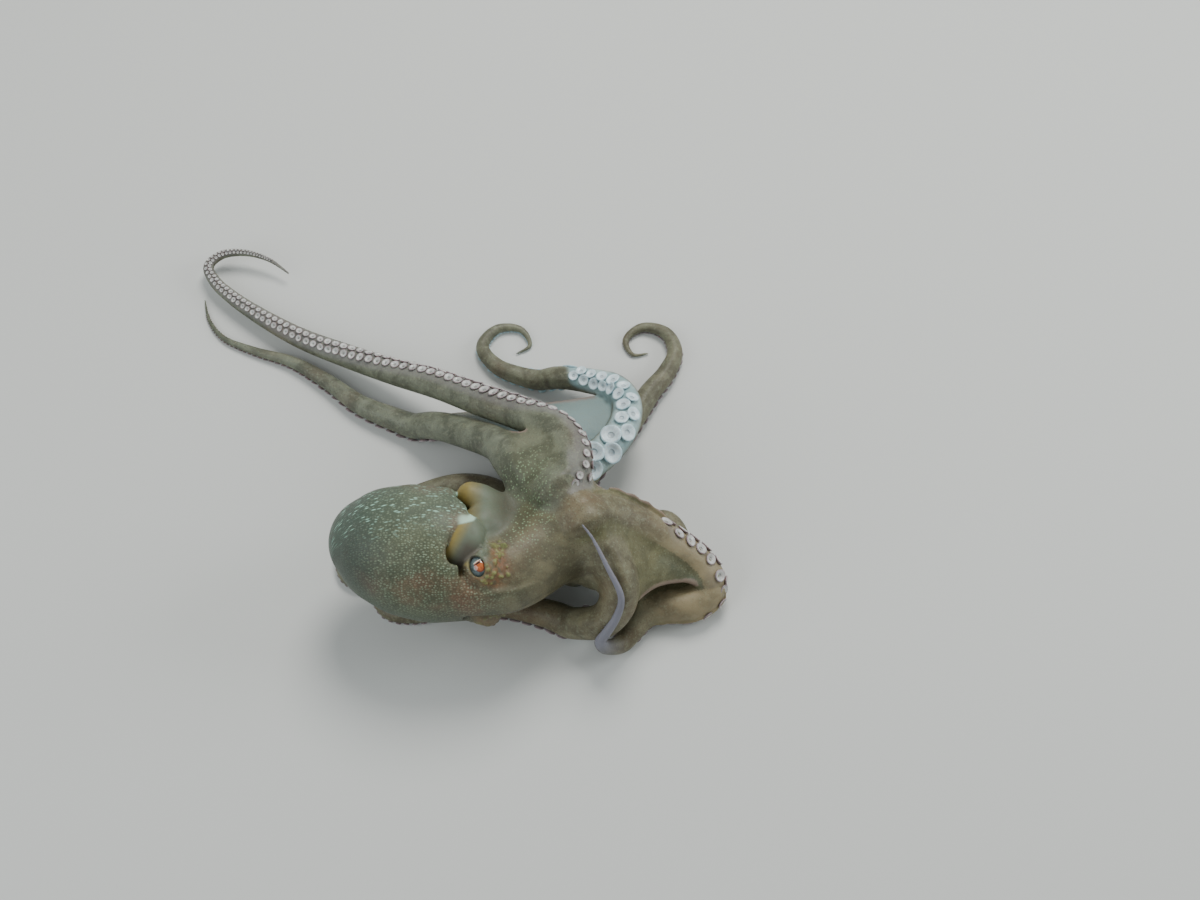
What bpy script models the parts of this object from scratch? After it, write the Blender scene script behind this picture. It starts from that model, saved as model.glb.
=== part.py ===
"""Common octopus at rest, a still life-size model.

The animal sits on its own arms with its left side turned up.  The mantle lies to the
left (-X), the crown of arms to the right, and the mouth faces right and away (+X +Y).
All lengths below are millimetres; MM turns them into metres where a mesh is made.
Every arm is a tapered tube along a smooth route, cut into base, mid and tip lengths,
and whatever lies on the floor is pressed a little flat there (z = 0).
"""
import math
import bpy
import bmesh
from mathutils import Vector, Matrix

MM = 0.001
OFFSET = Vector((35.56, -68.4, 0.0))     # puts the middle of the footprint on the origin
GAP = 0.3                               # clearance between neighbouring solids

# crown: the ring that the eight arms grow from
CROWN = Vector((21.0, -6.0, 43.0))
MOUTH = Vector((0.66, 0.72, -0.20)).normalized()
UP = Vector((0, 0, 1))
LEFT = (UP - MOUTH * MOUTH.z).normalized()
DORSAL = MOUTH.cross(LEFT)
RING_RADIUS = 17.0                      # arm roots, measured from the mouth axis
TIP_RADIUS = 0.7
TAPER = [(0, 1), (0.1, 0.985), (0.2, 0.95), (0.3, 0.895), (0.4, 0.82), (0.5, 0.735),
         (0.6, 0.635), (0.7, 0.52), (0.8, 0.385), (0.9, 0.235), (1, 0.07)]
TAPERS = {"arm_L2": [(0, 1), (0.2, 0.99), (0.42, 0.98), (0.52, 0.84), (0.6, 0.63),
                     (0.67, 0.42), (0.74, 0.27), (0.82, 0.2), (0.91, 0.135), (1, 0.07)]}
PRESSED = 0.9                           # height of a resting arm's axis, in arm radii
LENGTHS = (0.0, 0.3, 0.62, 1.0)         # base, mid and tip of each arm
PART_NAMES = ("base", "mid", "tip")

TOWARD = {"up": UP, "down": -UP, "back": Vector((0, 1, 0)), "front": Vector((0, -1, 0)),
          "right": Vector((1, 0, 0)), "left": Vector((-1, 0, 0)), "mouth": MOUTH,
          "away": Vector((0.6, 0.8, 0.15)), "high": Vector((0, -0.5, 0.87)),
          "upback": Vector((0, 0.7, 0.7)), "under": Vector((0.3, 0.6, -0.75)),
          "outer": Vector((0.9, 0.25, -0.15)), "lower": Vector((0.35, -0.6, -0.7)),
          "below": Vector((0, 0.55, -0.85)), "hidden": Vector((0.3, 0.75, -0.55)),
          "slope": Vector((0, 0.55, 0.83)), "tilt": Vector((0, -0.2, 0.98))}

# arm: ring angle (from dorsal toward left), base radius, route, and which way its
# suckers face along it.  A route point with z = 0 lies on the floor.
ARMS = {
    "arm_L1": (22.5, 9.6,
               [(50.5, -27, 46.5), (52.5, -36, 34), (45, -42, 22), (33, -39.5, 13), (18, -32, 0),
                (0, -27, 0), (-18, -25, 0), (-36, -27, 0), (-52, -31, 0), (-65, -29, 0),
                (-71, -19, 0), (-63, -11, 0), (-53, -15, 0), (-55, -22, 0)],
               [(0, "mouth"), (0.06, "under"), (0.3, "under"), (0.4, "down"), (1, "down")]),
    "arm_L2": (67.5, 9.6,
               [(44, 1, 57), (55, 1, 48), (68, -1, 38), (82, -4, 27), (93, -9, 18),
                (98, -15, 13), (96, -22, 0), (88, -27, 0), (76, -28, 0), (66, -31, 0),
                (59, -40, 0), (52, -49, 7), (45, -53, 14), (43, -53.5, 22), (46, -52.5, 30),
                (51, -48, 39), (53, -42.5, 49), (46, -31, 60), (39, -20, 68), (34, -15, 73)],
               [(0, "mouth"), (0.07, "hidden"), (0.2, "hidden"), (0.27, "outer"),
                (0.33, "outer"), (0.38, "lower"), (0.45, "down"), (0.6, "down"),
                (0.66, "left"), (0.72, "below"), (1, "below")]),
    "arm_L3": (112.5, 9.8,
               [(29, 14, 66), (30, 30, 64), (22, 47, 57), (4, 62, 47), (-18, 77, 36),
                (-42, 93, 26), (-68, 107, 17), (-96, 121, 11.5), (-122, 134, 9),
                (-145, 149, 7.5), (-162, 162, 7), (-173, 173, 7), (-177.5, 183, 7.6),
                (-171, 190, 8.6), (-158, 191, 9.6), (-144, 187, 8.6), (-132, 179, 6)],
               [(0, "mouth"), (0.1, "slope"), (0.42, "slope"), (0.6, "tilt"), (1, "tilt")]),
    "arm_L4": (157.5, 9.2,
               [(-1, 29, 53), (-9, 47, 41), (-24, 61, 28), (-44, 73, 17), (-66, 83, 0),
                (-86, 93, 0), (-106, 109, 0), (-126, 122, 0), (-148, 130, 0),
                (-166, 139, 0), (-175, 151, 0), (-179, 165, 0)],
               [(0, "mouth"), (0.12, "below"), (0.45, "down"), (1, "down")]),
    "arm_R4": (202.5, 9.6,
               [(16, 26, 30), (32, 39, 28.5), (46, 52, 28.5), (55, 66, 28), (57, 81, 26),
                (51, 94, 21), (38, 102, 15), (20, 107, 11), (2, 111, 0), (-14, 119, 0),
                (-22, 132, 0), (-14, 144, 0), (-1, 144, 0), (4, 134, 0), (-3, 129, 0)],
               [(0, "mouth"), (0.15, "high"), (0.45, "high"), (0.6, "right"),
                (0.8, "down"), (1, "down")]),
    "arm_R3": (247.5, 9.4,
               [(7, 15, 11), (-2, 28, 0), (-15, 38, 0), (-32, 41, 0), (-52, 36, 0),
                (-71, 28, 0), (-83, 17, 0), (-90, 4, 0), (-88, -9, 0), (-79, -14, 0),
                (-72, -6, 0), (-76, 1, 0)],
               [(0, "mouth"), (0.15, "down"), (1, "down")]),
    "arm_R2": (292.5, 9.4,
               [(33, 1, 10), (31, 16, 0), (31, 32, 0), (34, 47, 0), (42, 60, 0),
                (53, 73, 0), (62, 87, 0), (70, 101, 0), (79, 114, 0), (84, 128, 0),
                (79, 141, 0), (66, 145, 0), (57, 137, 0), (61, 128, 0), (69, 129, 0)],
               [(0, "mouth"), (0.15, "down"), (1, "down")]),
    "arm_R1": (337.5, 9.4,
               [(49, -14, 22), (61, -9, 11.6), (74, -1, 0), (82, 10, 0), (77, 21, 0),
                (65, 19, 0), (55, 10, 0), (47, 17, 0), (44, 29, 0), (50, 39, 0),
                (59, 36, 0)],
               [(0, "mouth"), (0.15, "down"), (1, "down")]),
}
RING = ["arm_L1", "arm_L2", "arm_L3", "arm_L4", "arm_R4", "arm_R3", "arm_R2", "arm_R1"]

# web between each arm and the next one round the ring: how far out it reaches on each,
# how deep its free edge curves in, and the side of the arms that it joins, if it is flush
WEBS = {"web_L1_L2": ((64, 94), 0.22, None), "web_L2_L3": ((40, 40), 0.3, None),
        "web_L3_L4": ((74, 74), 0.3, (-0.2, -0.5, 0.85)), "web_L4_R4": ((112, 110), 0.1, None),
        "web_R4_R3": ((44, 44), 0.3, None), "web_R3_R2": ((40, 40), 0.3, None),
        "web_R2_R1": ((38, 38), 0.3, None), "web_R1_L1": ((26, 26), 0.3, None)}
FOLD = ((64, 90), (147, 122), 6.0)      # the web inside arm L2's loop: two runs, and its sag
WEB_THICKNESS = 1.8

# stretches whose suckers stand clear of the floor and are modelled: from, to
SUCKER_RUNS = {"arm_L2": (64, 120), "arm_R4": (34, 100)}
# widest part of the suckers along an arm, by share of its length
SUCKERS = {"arm_L2": [(0, 3), (0.1, 5.5), (0.2, 6.8), (0.45, 6.6), (0.6, 4.5), (0.68, 1.8), (1, 0.4)],
           "arm_R4": [(0, 4), (0.12, 8), (0.19, 11), (0.28, 11), (0.33, 7.5), (0.45, 6.2),
                      (0.7, 4), (1, 0.5)]}
SUCKER_HEIGHT = 2.0

# mantle and head: points (x, y, z, radius) along their axes
MANTLE = [(-89.8, -12.2, 48.5, 6), (-88, -12.2, 48.5, 11.2), (-84.3, -12.3, 48.5, 16.4),
          (-79, -12.5, 48.5, 21.3), (-73, -13, 48.4, 25.6), (-66.5, -13.8, 48.3, 28.8),
          (-58, -15.2, 48.2, 31.3), (-48.5, -17.1, 48.1, 33.1), (-38.5, -19, 48.3, 33.6),
          (-29, -20.6, 48.6, 31.7), (-20.5, -22.4, 48.8, 28.6), (-13, -24.2, 48.9, 25),
          (-9, -25.2, 49, 22.6)]
HEAD = [(-30, -25, 49, 15), (-22, -27, 48.8, 18), (-14, -29, 48.4, 19.4),
        (-4, -29, 47.6, 20), (7, -22, 46, 20.4), (16, -12, 44.2, 21.4),
        (22, -5, 42.8, 21.6), (28, 2, 41.2, 19), (33, 7.5, 39.8, 14), (35.5, 10.2, 39, 8)]
FUNNEL = [(-6, -2, 48, 8.6), (-11, 4, 50.3, 8.6), (-16, 8.5, 52, 8.0), (-20.5, 10.8, 53, 7.2),
          (-24.5, 12, 53.2, 5.8), (-27, 12.8, 53.2, 3.4)]
COLLAR = ((-22.3, -20.5, 67), (9.5, 12, 10.5))
APERTURE = ((-18, -8, 63), (19, 23, 17))
EYE_RADIUS = 7.0
EYE_LEFT = (-14, -34.5, 65)
EYE_RIGHT = (-14, -42.5, 35)

SKIN = (0.27, 0.22, 0.16)
MATERIALS = {
    "mantle_skin": (SKIN, 0.5), "head_skin": ((0.30, 0.20, 0.13), 0.5),
    "arm_skin": ((0.31, 0.25, 0.20), 0.45), "web_skin": ((0.28, 0.22, 0.17), 0.45),
    "funnel_skin": ((0.42, 0.38, 0.24), 0.4), "eye_gloss": ((0.55, 0.22, 0.06), 0.15),
}


def clear_scene():
    for obj in list(bpy.data.objects):
        bpy.data.objects.remove(obj, do_unlink=True)


def collection(name):
    coll = bpy.data.collections.get(name) or bpy.data.collections.new(name)
    if coll.name not in bpy.context.scene.collection.children:
        bpy.context.scene.collection.children.link(coll)
    return coll


def material(name):
    mat = bpy.data.materials.get(name)
    if mat is None:
        colour, rough = MATERIALS[name]
        mat = bpy.data.materials.new(name)
        mat.use_nodes = True
        shader = mat.node_tree.nodes["Principled BSDF"]
        shader.inputs["Base Color"].default_value = (*colour, 1)
        shader.inputs["Roughness"].default_value = rough
        shader.inputs["Metallic"].default_value = 0.0
    return mat


def world(point):
    return (Vector(point[:3]) + OFFSET) * MM


def smooth_route(points, per=12):
    """Centripetal Catmull-Rom curve through the points."""
    pts = [Vector(p) for p in points]
    pts = [pts[0] * 2 - pts[1]] + pts + [pts[-1] * 2 - pts[-2]]
    out = []
    for p0, p1, p2, p3 in zip(pts, pts[1:], pts[2:], pts[3:]):
        t0 = 0.0
        t1 = t0 + (p1 - p0).length ** 0.5
        t2 = t1 + (p2 - p1).length ** 0.5
        t3 = t2 + (p3 - p2).length ** 0.5
        for k in range(per):
            t = t1 + (t2 - t1) * k / per
            a1 = p0 * ((t1 - t) / (t1 - t0)) + p1 * ((t - t0) / (t1 - t0))
            a2 = p1 * ((t2 - t) / (t2 - t1)) + p2 * ((t - t1) / (t2 - t1))
            a3 = p2 * ((t3 - t) / (t3 - t2)) + p3 * ((t - t2) / (t3 - t2))
            b1 = a1 * ((t2 - t) / (t2 - t0)) + a2 * ((t - t0) / (t2 - t0))
            b2 = a2 * ((t3 - t) / (t3 - t1)) + a3 * ((t - t1) / (t3 - t1))
            out.append(b1 * ((t2 - t) / (t2 - t1)) + b2 * ((t - t1) / (t2 - t1)))
    out.append(pts[-2])
    return out


class Path:
    """An arm's axis at 1 mm steps, with its radius and the way its suckers face."""

    def __init__(self, name):
        self.name = name
        angle, base, route, facing = ARMS[name]
        a = math.radians(angle)
        out = DORSAL * math.cos(a) + LEFT * math.sin(a)
        root = CROWN + out * RING_RADIUS
        first = root + out * 9.0 + MOUTH * 5.4
        fine = smooth_route([root, first] + [Vector(p) for p in route])
        run = [0.0]
        for p, q in zip(fine, fine[1:]):
            run.append(run[-1] + (q - p).length)
        self.length = run[-1]
        self.base = base
        self.taper = TAPERS.get(name, TAPER)
        self.points = []
        k = 0
        for i in range(int(self.length) + 1):
            while k < len(run) - 2 and run[k + 1] < i:
                k += 1
            t = (i - run[k]) / max(run[k + 1] - run[k], 1e-9)
            p = fine[k].lerp(fine[k + 1], t)
            p.z = max(p.z, PRESSED * self.radius(i))
            self.points.append(p)
        heights = [p.z for p in self.points]
        for i in range(3, len(heights) - 3):
            self.points[i].z = sum(heights[i - 3:i + 4]) / 7
        self.facing = [(u, TOWARD[word]) for u, word in facing]

    def radius(self, s):
        u = min(max(s / self.length, 0), 1)
        for (u0, f0), (u1, f1) in zip(self.taper, self.taper[1:]):
            if u <= u1:
                return self.base * (f0 + (f1 - f0) * (u - u0) / (u1 - u0))
        return TIP_RADIUS

    def at(self, s):
        s = min(max(s, 0.0), len(self.points) - 1.0)
        i = min(int(s), len(self.points) - 2)
        return self.points[i].lerp(self.points[i + 1], s - i)

    def tangent(self, s):
        return (self.at(s + 1.5) - self.at(s - 1.5)).normalized()

    def oral(self, s):
        u = s / self.length
        facing = self.facing[-1][1]
        for (u0, v0), (u1, v1) in zip(self.facing, self.facing[1:]):
            if u <= u1:
                facing = v0.lerp(v1, (u - u0) / (u1 - u0))
                break
        t = self.tangent(s)
        return (facing - t * facing.dot(t)).normalized()

    def fitted_radius(self, s):
        """Near the ring the arms narrow so that neighbours lie side by side."""
        p = self.at(s) - CROWN
        off_axis = (p - MOUTH * p.dot(MOUTH)).length
        if s < 26:
            return min(self.radius(s), off_axis * math.sin(math.radians(22.5)) - 0.3)
        return self.radius(s)


PATHS = {name: Path(name) for name in ARMS}


def tube(name, stations, coll, sides=8):
    """A closed tube through stations of (point, radius), made from a bevelled curve."""
    curve = bpy.data.curves.new(name, "CURVE")
    curve.dimensions = "3D"
    curve.bevel_depth = MM
    curve.bevel_resolution = (sides - 4) // 2
    curve.use_fill_caps = True
    spline = curve.splines.new("POLY")
    spline.points.add(len(stations) - 1)
    for point, (p, r) in zip(spline.points, stations):
        point.co = (*world(p), 1)
        point.radius = r
    guide = bpy.data.objects.new(name + "_axis", curve)
    bpy.context.scene.collection.objects.link(guide)
    bpy.context.view_layer.update()
    mesh = bpy.data.meshes.new_from_object(guide.evaluated_get(bpy.context.evaluated_depsgraph_get()))
    bpy.data.objects.remove(guide, do_unlink=True)
    bpy.data.curves.remove(curve)
    bm = bmesh.new()
    bm.from_mesh(mesh)
    bmesh.ops.remove_doubles(bm, verts=bm.verts, dist=1e-6)
    bmesh.ops.recalc_face_normals(bm, faces=bm.faces)
    bm.to_mesh(mesh)
    bm.free()
    mesh.name = name
    obj = bpy.data.objects.new(name, mesh)
    coll.objects.link(obj)
    return obj


def ball(name, centre, semi, coll, around=16, down=10):
    mesh = bpy.data.meshes.new(name)
    bm = bmesh.new()
    bmesh.ops.create_uvsphere(bm, u_segments=around, v_segments=down, radius=1.0)
    size = semi if hasattr(semi, "__len__") else (semi,) * 3
    bmesh.ops.scale(bm, vec=Vector(size) * MM, verts=bm.verts)
    bm.to_mesh(mesh)
    bm.free()
    obj = bpy.data.objects.new(name, mesh)
    obj.location = world(centre)
    coll.objects.link(obj)
    return obj


def hide(obj):
    obj.hide_render = True
    obj.display_type = "WIRE"


def combine(obj, tool, operation):
    mod = obj.modifiers.new(operation.lower() + "_" + tool.name, "BOOLEAN")
    mod.operation = operation
    mod.solver = "EXACT"
    mod.object = tool
    mod.use_self = operation == "UNION"


def finish(obj, mat):
    obj.data.materials.clear()
    obj.data.materials.append(material(mat))
    obj.data.shade_smooth()
    obj.data.set_sharp_from_angle(angle=math.radians(50))


def arm_stations(path, s0, s1):
    """Stations between two cuts, with a short straight end so that cuts are square."""
    cut = 0.0 if s0 <= 0 else 0.2
    out = []
    if s0 > 0:
        t, p, r = path.tangent(s0), path.at(s0), path.fitted_radius(s0)
        out += [(p + t * cut, r), (p + t * 1.6, r)]
        s = s0 + 2
    else:
        s = 1.0
        out.append((path.at(1), path.fitted_radius(1)))
    last = s1 >= path.length - 0.5
    end = path.length if last else s1 - 2
    span = end - s
    steps = []
    q = s
    while q < end:
        q += 0.9 * path.fitted_radius(min(q, end)) + 3.6
        steps.append(q)
    scale = span / (steps[-1] - s)
    out += [(path.at(s + (q - s) * scale), path.fitted_radius(s + (q - s) * scale))
            for q in steps[:-1]]
    if last:
        out.append((path.at(path.length), TIP_RADIUS))
    else:
        t, p, r = path.tangent(s1), path.at(s1), path.fitted_radius(s1)
        out += [(p - t * 1.6, r), (p - t * 0.2, r)]
    return out


def sucker_size(path, s):
    """Width of a sucker at a distance along its arm."""
    plan = SUCKERS[path.name]
    u = s / path.length
    for (u0, a), (u1, b) in zip(plan, plan[1:]):
        if u <= u1:
            return a + (b - a) * (u - u0) / (u1 - u0)
    return plan[-1][1]


def sucker_row(path, s0, s1):
    s, side = 14.0, 1
    while s < s1:
        size = sucker_size(path, s)
        if s >= s0:
            yield s, side, size
        s += 0.66 * size + 0.2
        side = -side


def sucker_cones(name, path, s0, s1, coll):
    """Low cones, wide side out, that are joined to the arm they stand on."""
    bm = bmesh.new()
    for s, side, size in sucker_row(path, s0, s1):
        p, t, o = path.at(s), path.tangent(s), path.oral(s)
        across = t.cross(o).normalized()
        r = path.radius(s)
        way = (o + across * (0.38 * side)).normalized()
        foot = p + way * (r * 0.72)
        height = r * 0.28 + SUCKER_HEIGHT
        turn = way.to_track_quat("Z", "X").to_matrix().to_4x4()
        spin = Matrix.Rotation(0.37 * s, 4, "Z")    # no edge runs along an arm's edge
        place = Matrix.Translation(world(foot + way * (height / 2))) @ turn @ spin
        bmesh.ops.create_cone(bm, cap_ends=True, segments=6, radius1=size * 0.36 * MM,
                              radius2=size * 0.46 * MM, depth=height * MM, matrix=place)
    mesh = bpy.data.meshes.new(name)
    bm.to_mesh(mesh)
    bm.free()
    obj = bpy.data.objects.new(name, mesh)
    coll.objects.link(obj)
    hide(obj)
    return obj


def web_edge(arm, s, toward, side):
    """A point just inside the arm, on the side that the web joins."""
    p, t, r = arm.at(s), arm.tangent(s), arm.radius(s)
    to = toward - p
    to = (to - t * to.dot(t)).normalized()
    if side is None:
        return p + to * (r * 0.6)
    up = Vector(side)
    up = (up - t * up.dot(t)).normalized()
    return p + (to * 0.6 + up).normalized() * (r * 0.7)


def sheet(name, rows, cols, place, coll):
    """A thick sheet whose middle passes through place(row, column), both from 0 to 1."""
    bm = bmesh.new()
    grid = [[bm.verts.new(world(place(i / rows, j / cols))) for j in range(cols + 1)]
            for i in range(rows + 1)]
    for i in range(rows):
        for j in range(cols):
            bm.faces.new((grid[i][j], grid[i][j + 1], grid[i + 1][j + 1], grid[i + 1][j]))
    mesh = bpy.data.meshes.new(name)
    bm.to_mesh(mesh)
    bm.free()
    obj = bpy.data.objects.new(name, mesh)
    coll.objects.link(obj)
    shell = obj.modifiers.new("thickness", "SOLIDIFY")
    shell.thickness = WEB_THICKNESS * MM
    shell.offset = 0.0
    shell.use_even_offset = False
    return obj


def web(name, a, b, plan, coll):
    """A sheet ruled between two arms, with its free edge drawn in like a bay."""
    reach, depth, side = plan
    start = None
    for s in range(13, 40):
        if (a.at(s) - b.at(s)).length > a.radius(s) + b.radius(s) + 2.6:
            start = s
            break
    if start is None or start > max(reach) - 8:
        return None

    def place(v, t):
        bay = v * (1 - depth * math.sin(math.pi * t) * v)
        sa = start + (reach[0] - start) * bay
        sb = start + (reach[1] - start) * bay
        return web_edge(a, sa, b.at(sb), side).lerp(web_edge(b, sb, a.at(sa), side), t)

    rows = max(3, round((sum(reach) / 2 - start) / 10))
    return sheet(name, rows, 4 if max(reach) > 50 else 3, place, coll)


def fold(name, arm, plan, coll):
    """The sheet between the two runs of one arm's loop, sagging away from the viewer's side."""
    (a0, a1), (b0, b1), sag = plan

    def place(v, t):
        sa, sb = a0 + (a1 - a0) * v, b0 + (b1 - b0) * v
        p = web_edge(arm, sa, arm.at(sb), None).lerp(web_edge(arm, sb, arm.at(sa), None), t)
        return p + Vector((0, 0.8, -0.2)) * (sag * math.sin(math.pi * t) * (1 - 0.5 * v))

    return sheet(name, 4, 4, place, coll)


def build():
    clear_scene()
    parts = collection("octopus")
    cutters = collection("cutters")

    mesh = bpy.data.meshes.new("floor_block")
    bm = bmesh.new()
    bmesh.ops.create_cube(bm, size=1.0)
    bmesh.ops.scale(bm, vec=Vector((600, 600, 40)) * MM, verts=bm.verts)
    bm.to_mesh(mesh)
    bm.free()
    floor_block = bpy.data.objects.new("floor_block", mesh)
    floor_block.location = (0, 0, -20 * MM)
    cutters.objects.link(floor_block)
    hide(floor_block)

    head = tube("head", [(Vector(p[:3]), p[3]) for p in HEAD], parts, 14)
    grown = [(Vector(p[:3]), p[3] + GAP) for p in HEAD]
    grown[0] = (grown[0][0] - Vector((GAP, 0, 0)), grown[0][1])
    grown[-1] = (grown[-1][0] + MOUTH * GAP, grown[-1][1])
    head_space = tube("head_space", grown, cutters, 14)
    hide(head_space)
    finish(head, "head_skin")

    for side, centre in (("left", EYE_LEFT), ("right", EYE_RIGHT)):
        eye = ball("eye_" + side, centre, EYE_RADIUS, parts, 12, 8)
        finish(eye, "eye_gloss")
        socket = ball("socket_" + side, centre, EYE_RADIUS + GAP, cutters, 12, 8)
        hide(socket)
        combine(head, socket, "DIFFERENCE")

    grown = [(Vector(p[:3]), p[3] + 1.1) for p in FUNNEL]
    grown.insert(0, (grown[0][0] * 2 - grown[1][0], grown[0][1]))
    funnel_space = tube("funnel_space", grown, cutters, 12)
    hide(funnel_space)
    mantle = tube("mantle", [(Vector(p[:3]), p[3]) for p in MANTLE], parts, 16)
    aperture = ball("aperture", *APERTURE, cutters, 14, 8)
    hide(aperture)
    combine(mantle, aperture, "DIFFERENCE")
    combine(mantle, head_space, "DIFFERENCE")
    combine(mantle, funnel_space, "DIFFERENCE")
    for name in ("socket_left", "socket_right"):
        combine(mantle, bpy.data.objects[name], "DIFFERENCE")
    collar_space = ball("collar_space", COLLAR[0], [a + GAP for a in COLLAR[1]], cutters, 12, 8)
    hide(collar_space)
    combine(mantle, collar_space, "DIFFERENCE")
    finish(mantle, "mantle_skin")

    collar = ball("collar", *COLLAR, parts, 12, 8)
    combine(collar, head_space, "DIFFERENCE")
    combine(collar, bpy.data.objects["socket_left"], "DIFFERENCE")
    finish(collar, "funnel_skin")
    funnel = tube("funnel", [(Vector(p[:3]), p[3]) for p in FUNNEL], parts, 12)
    combine(funnel, head_space, "DIFFERENCE")
    combine(funnel, collar_space, "DIFFERENCE")
    finish(funnel, "funnel_skin")

    for name, path in PATHS.items():
        cuts = [u * path.length for u in LENGTHS]
        for part_name, s0, s1 in zip(PART_NAMES, cuts, cuts[1:]):
            stations = arm_stations(path, s0, s1)
            obj = tube(name + "_" + part_name, stations, parts, 8)
            if name in SUCKER_RUNS:
                run0, run1 = SUCKER_RUNS[name]
                lo, hi = max(run0, s0 + 7), min(run1, s1 - 7)
                if hi > lo:
                    cones = sucker_cones("suckers_" + obj.name, path, lo, hi, cutters)
                    combine(obj, cones, "UNION")
            if part_name == "base":
                combine(obj, head_space, "DIFFERENCE")
            if min(p.z - r for p, r in stations) < 0.0:
                combine(obj, floor_block, "DIFFERENCE")
            finish(obj, "arm_skin")

    spaces = {name: [] for name in PATHS}
    for name, path in PATHS.items():
        cuts = [u * path.length for u in LENGTHS]
        runs = [(cuts[0], cuts[1])] + [(cuts[1] + (cuts[2] - cuts[1]) * k / 3,
                                        cuts[1] + (cuts[2] - cuts[1]) * (k + 1) / 3)
                                       for k in range(3)]
        for k, (s0, s1) in enumerate(runs):
            stations = [(p, r + GAP * 1.2 + 0.6) for p, r in arm_stations(path, s0, s1)]
            stations[0] = (stations[0][0] - path.tangent(s0) * GAP, stations[0][1])
            stations[-1] = (stations[-1][0] + path.tangent(s1) * GAP, stations[-1][1])
            space = tube("space_%s_%d" % (name, k), stations, cutters, 8)
            hide(space)
            spaces[name].append((s0, space))
    for name, after in zip(RING, RING[1:] + RING[:1]):
        web_name = "web_" + name[4:] + "_" + after[4:]
        film = web(web_name, PATHS[name], PATHS[after], WEBS[web_name], parts)
        if film is not None:
            combine(film, head_space, "DIFFERENCE")
            for s0, space in spaces[name] + spaces[after]:
                if s0 < max(WEBS[web_name][0]) + 3:
                    combine(film, space, "DIFFERENCE")
            finish(film, "web_skin")
    film = fold("web_L2_fold", PATHS["arm_L2"], FOLD, parts)
    for s0, space in spaces["arm_L2"]:
        combine(film, space, "DIFFERENCE")
    finish(film, "web_skin")


build()
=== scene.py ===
"""Looks of the resting octopus: one skin grown from the same routes as the solids,
its suckers and eyeballs, and a plain studio around them.
Lengths are millimetres in the layout frame; world() turns them into metres."""
import math
import bpy
import numpy as np
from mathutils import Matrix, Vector

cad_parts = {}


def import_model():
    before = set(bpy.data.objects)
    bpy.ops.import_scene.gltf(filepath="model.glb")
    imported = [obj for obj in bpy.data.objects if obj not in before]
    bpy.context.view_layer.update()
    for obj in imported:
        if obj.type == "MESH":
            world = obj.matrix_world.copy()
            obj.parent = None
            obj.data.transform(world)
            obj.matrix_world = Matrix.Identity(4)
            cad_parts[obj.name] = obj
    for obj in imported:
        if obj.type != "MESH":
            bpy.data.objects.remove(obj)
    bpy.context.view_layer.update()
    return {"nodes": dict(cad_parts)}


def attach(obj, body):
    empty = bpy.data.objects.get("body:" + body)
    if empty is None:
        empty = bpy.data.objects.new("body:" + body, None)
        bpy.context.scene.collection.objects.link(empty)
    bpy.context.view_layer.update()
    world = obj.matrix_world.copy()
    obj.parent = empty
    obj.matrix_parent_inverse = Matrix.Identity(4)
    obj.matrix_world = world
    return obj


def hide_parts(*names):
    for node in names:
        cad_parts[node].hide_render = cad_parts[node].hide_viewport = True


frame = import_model()
# -------- the solids' plan
OFFSET = np.array([35.56, -68.4, 0.0])  # puts the middle of the footprint on the origin
CROWN = np.array([21.0, -6.0, 43.0])
MOUTH = np.array([0.66, 0.72, -0.20])
MOUTH /= np.linalg.norm(MOUTH)
UP = np.array([0.0, 0.0, 1.0])
LEFT = UP - MOUTH * MOUTH[2]
LEFT /= np.linalg.norm(LEFT)
DORSAL = np.cross(MOUTH, LEFT)
RING_RADIUS = 17.0  # arm roots, measured from the mouth axis
PRESSED = 0.9  # height of a resting arm's axis, in arm radii
# how an arm's radius falls, by share of its length
TAPER = [(0, 1), (0.1, 0.985), (0.2, 0.95), (0.3, 0.895), (0.4, 0.82), (0.5, 0.735),
         (0.6, 0.635), (0.7, 0.52), (0.8, 0.385), (0.9, 0.235), (1, 0.07)]
TAPERS = {
    "arm_L2": [(0, 1), (0.2, 0.99), (0.42, 0.98), (0.52, 0.84), (0.6, 0.63), (0.67, 0.42),
               (0.74, 0.27), (0.82, 0.2), (0.91, 0.135), (1, 0.07)],
    "arm_L4": [(0, 1), (0.1, 0.985), (0.2, 0.95), (0.3, 0.89), (0.4, 0.79), (0.5, 0.67),
               (0.6, 0.53), (0.7, 0.4), (0.8, 0.27), (0.9, 0.16), (1, 0.06)]}
TOWARD = {"down": -UP, "right": (1, 0, 0), "left": (-1, 0, 0), "mouth": MOUTH,
          "high": (0, -0.5, 0.87), "under": (0.3, 0.6, -0.75), "lower": (0.35, -0.6, -0.7),
          "below": (0, 0.55, -0.85), "hidden": (0.3, 0.75, -0.55), "slope": (0, 0.66, 0.75),
          "tilt": (0, -0.2, 0.98), "bright": (0.52, 0.44, 0.74), "rim": (0.9, -0.29, 0.32),
          "edge": (0.84, 0.32, 0.42)}
FLAT = [(0, "mouth"), (0.15, "down"), (1, "down")]
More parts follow.
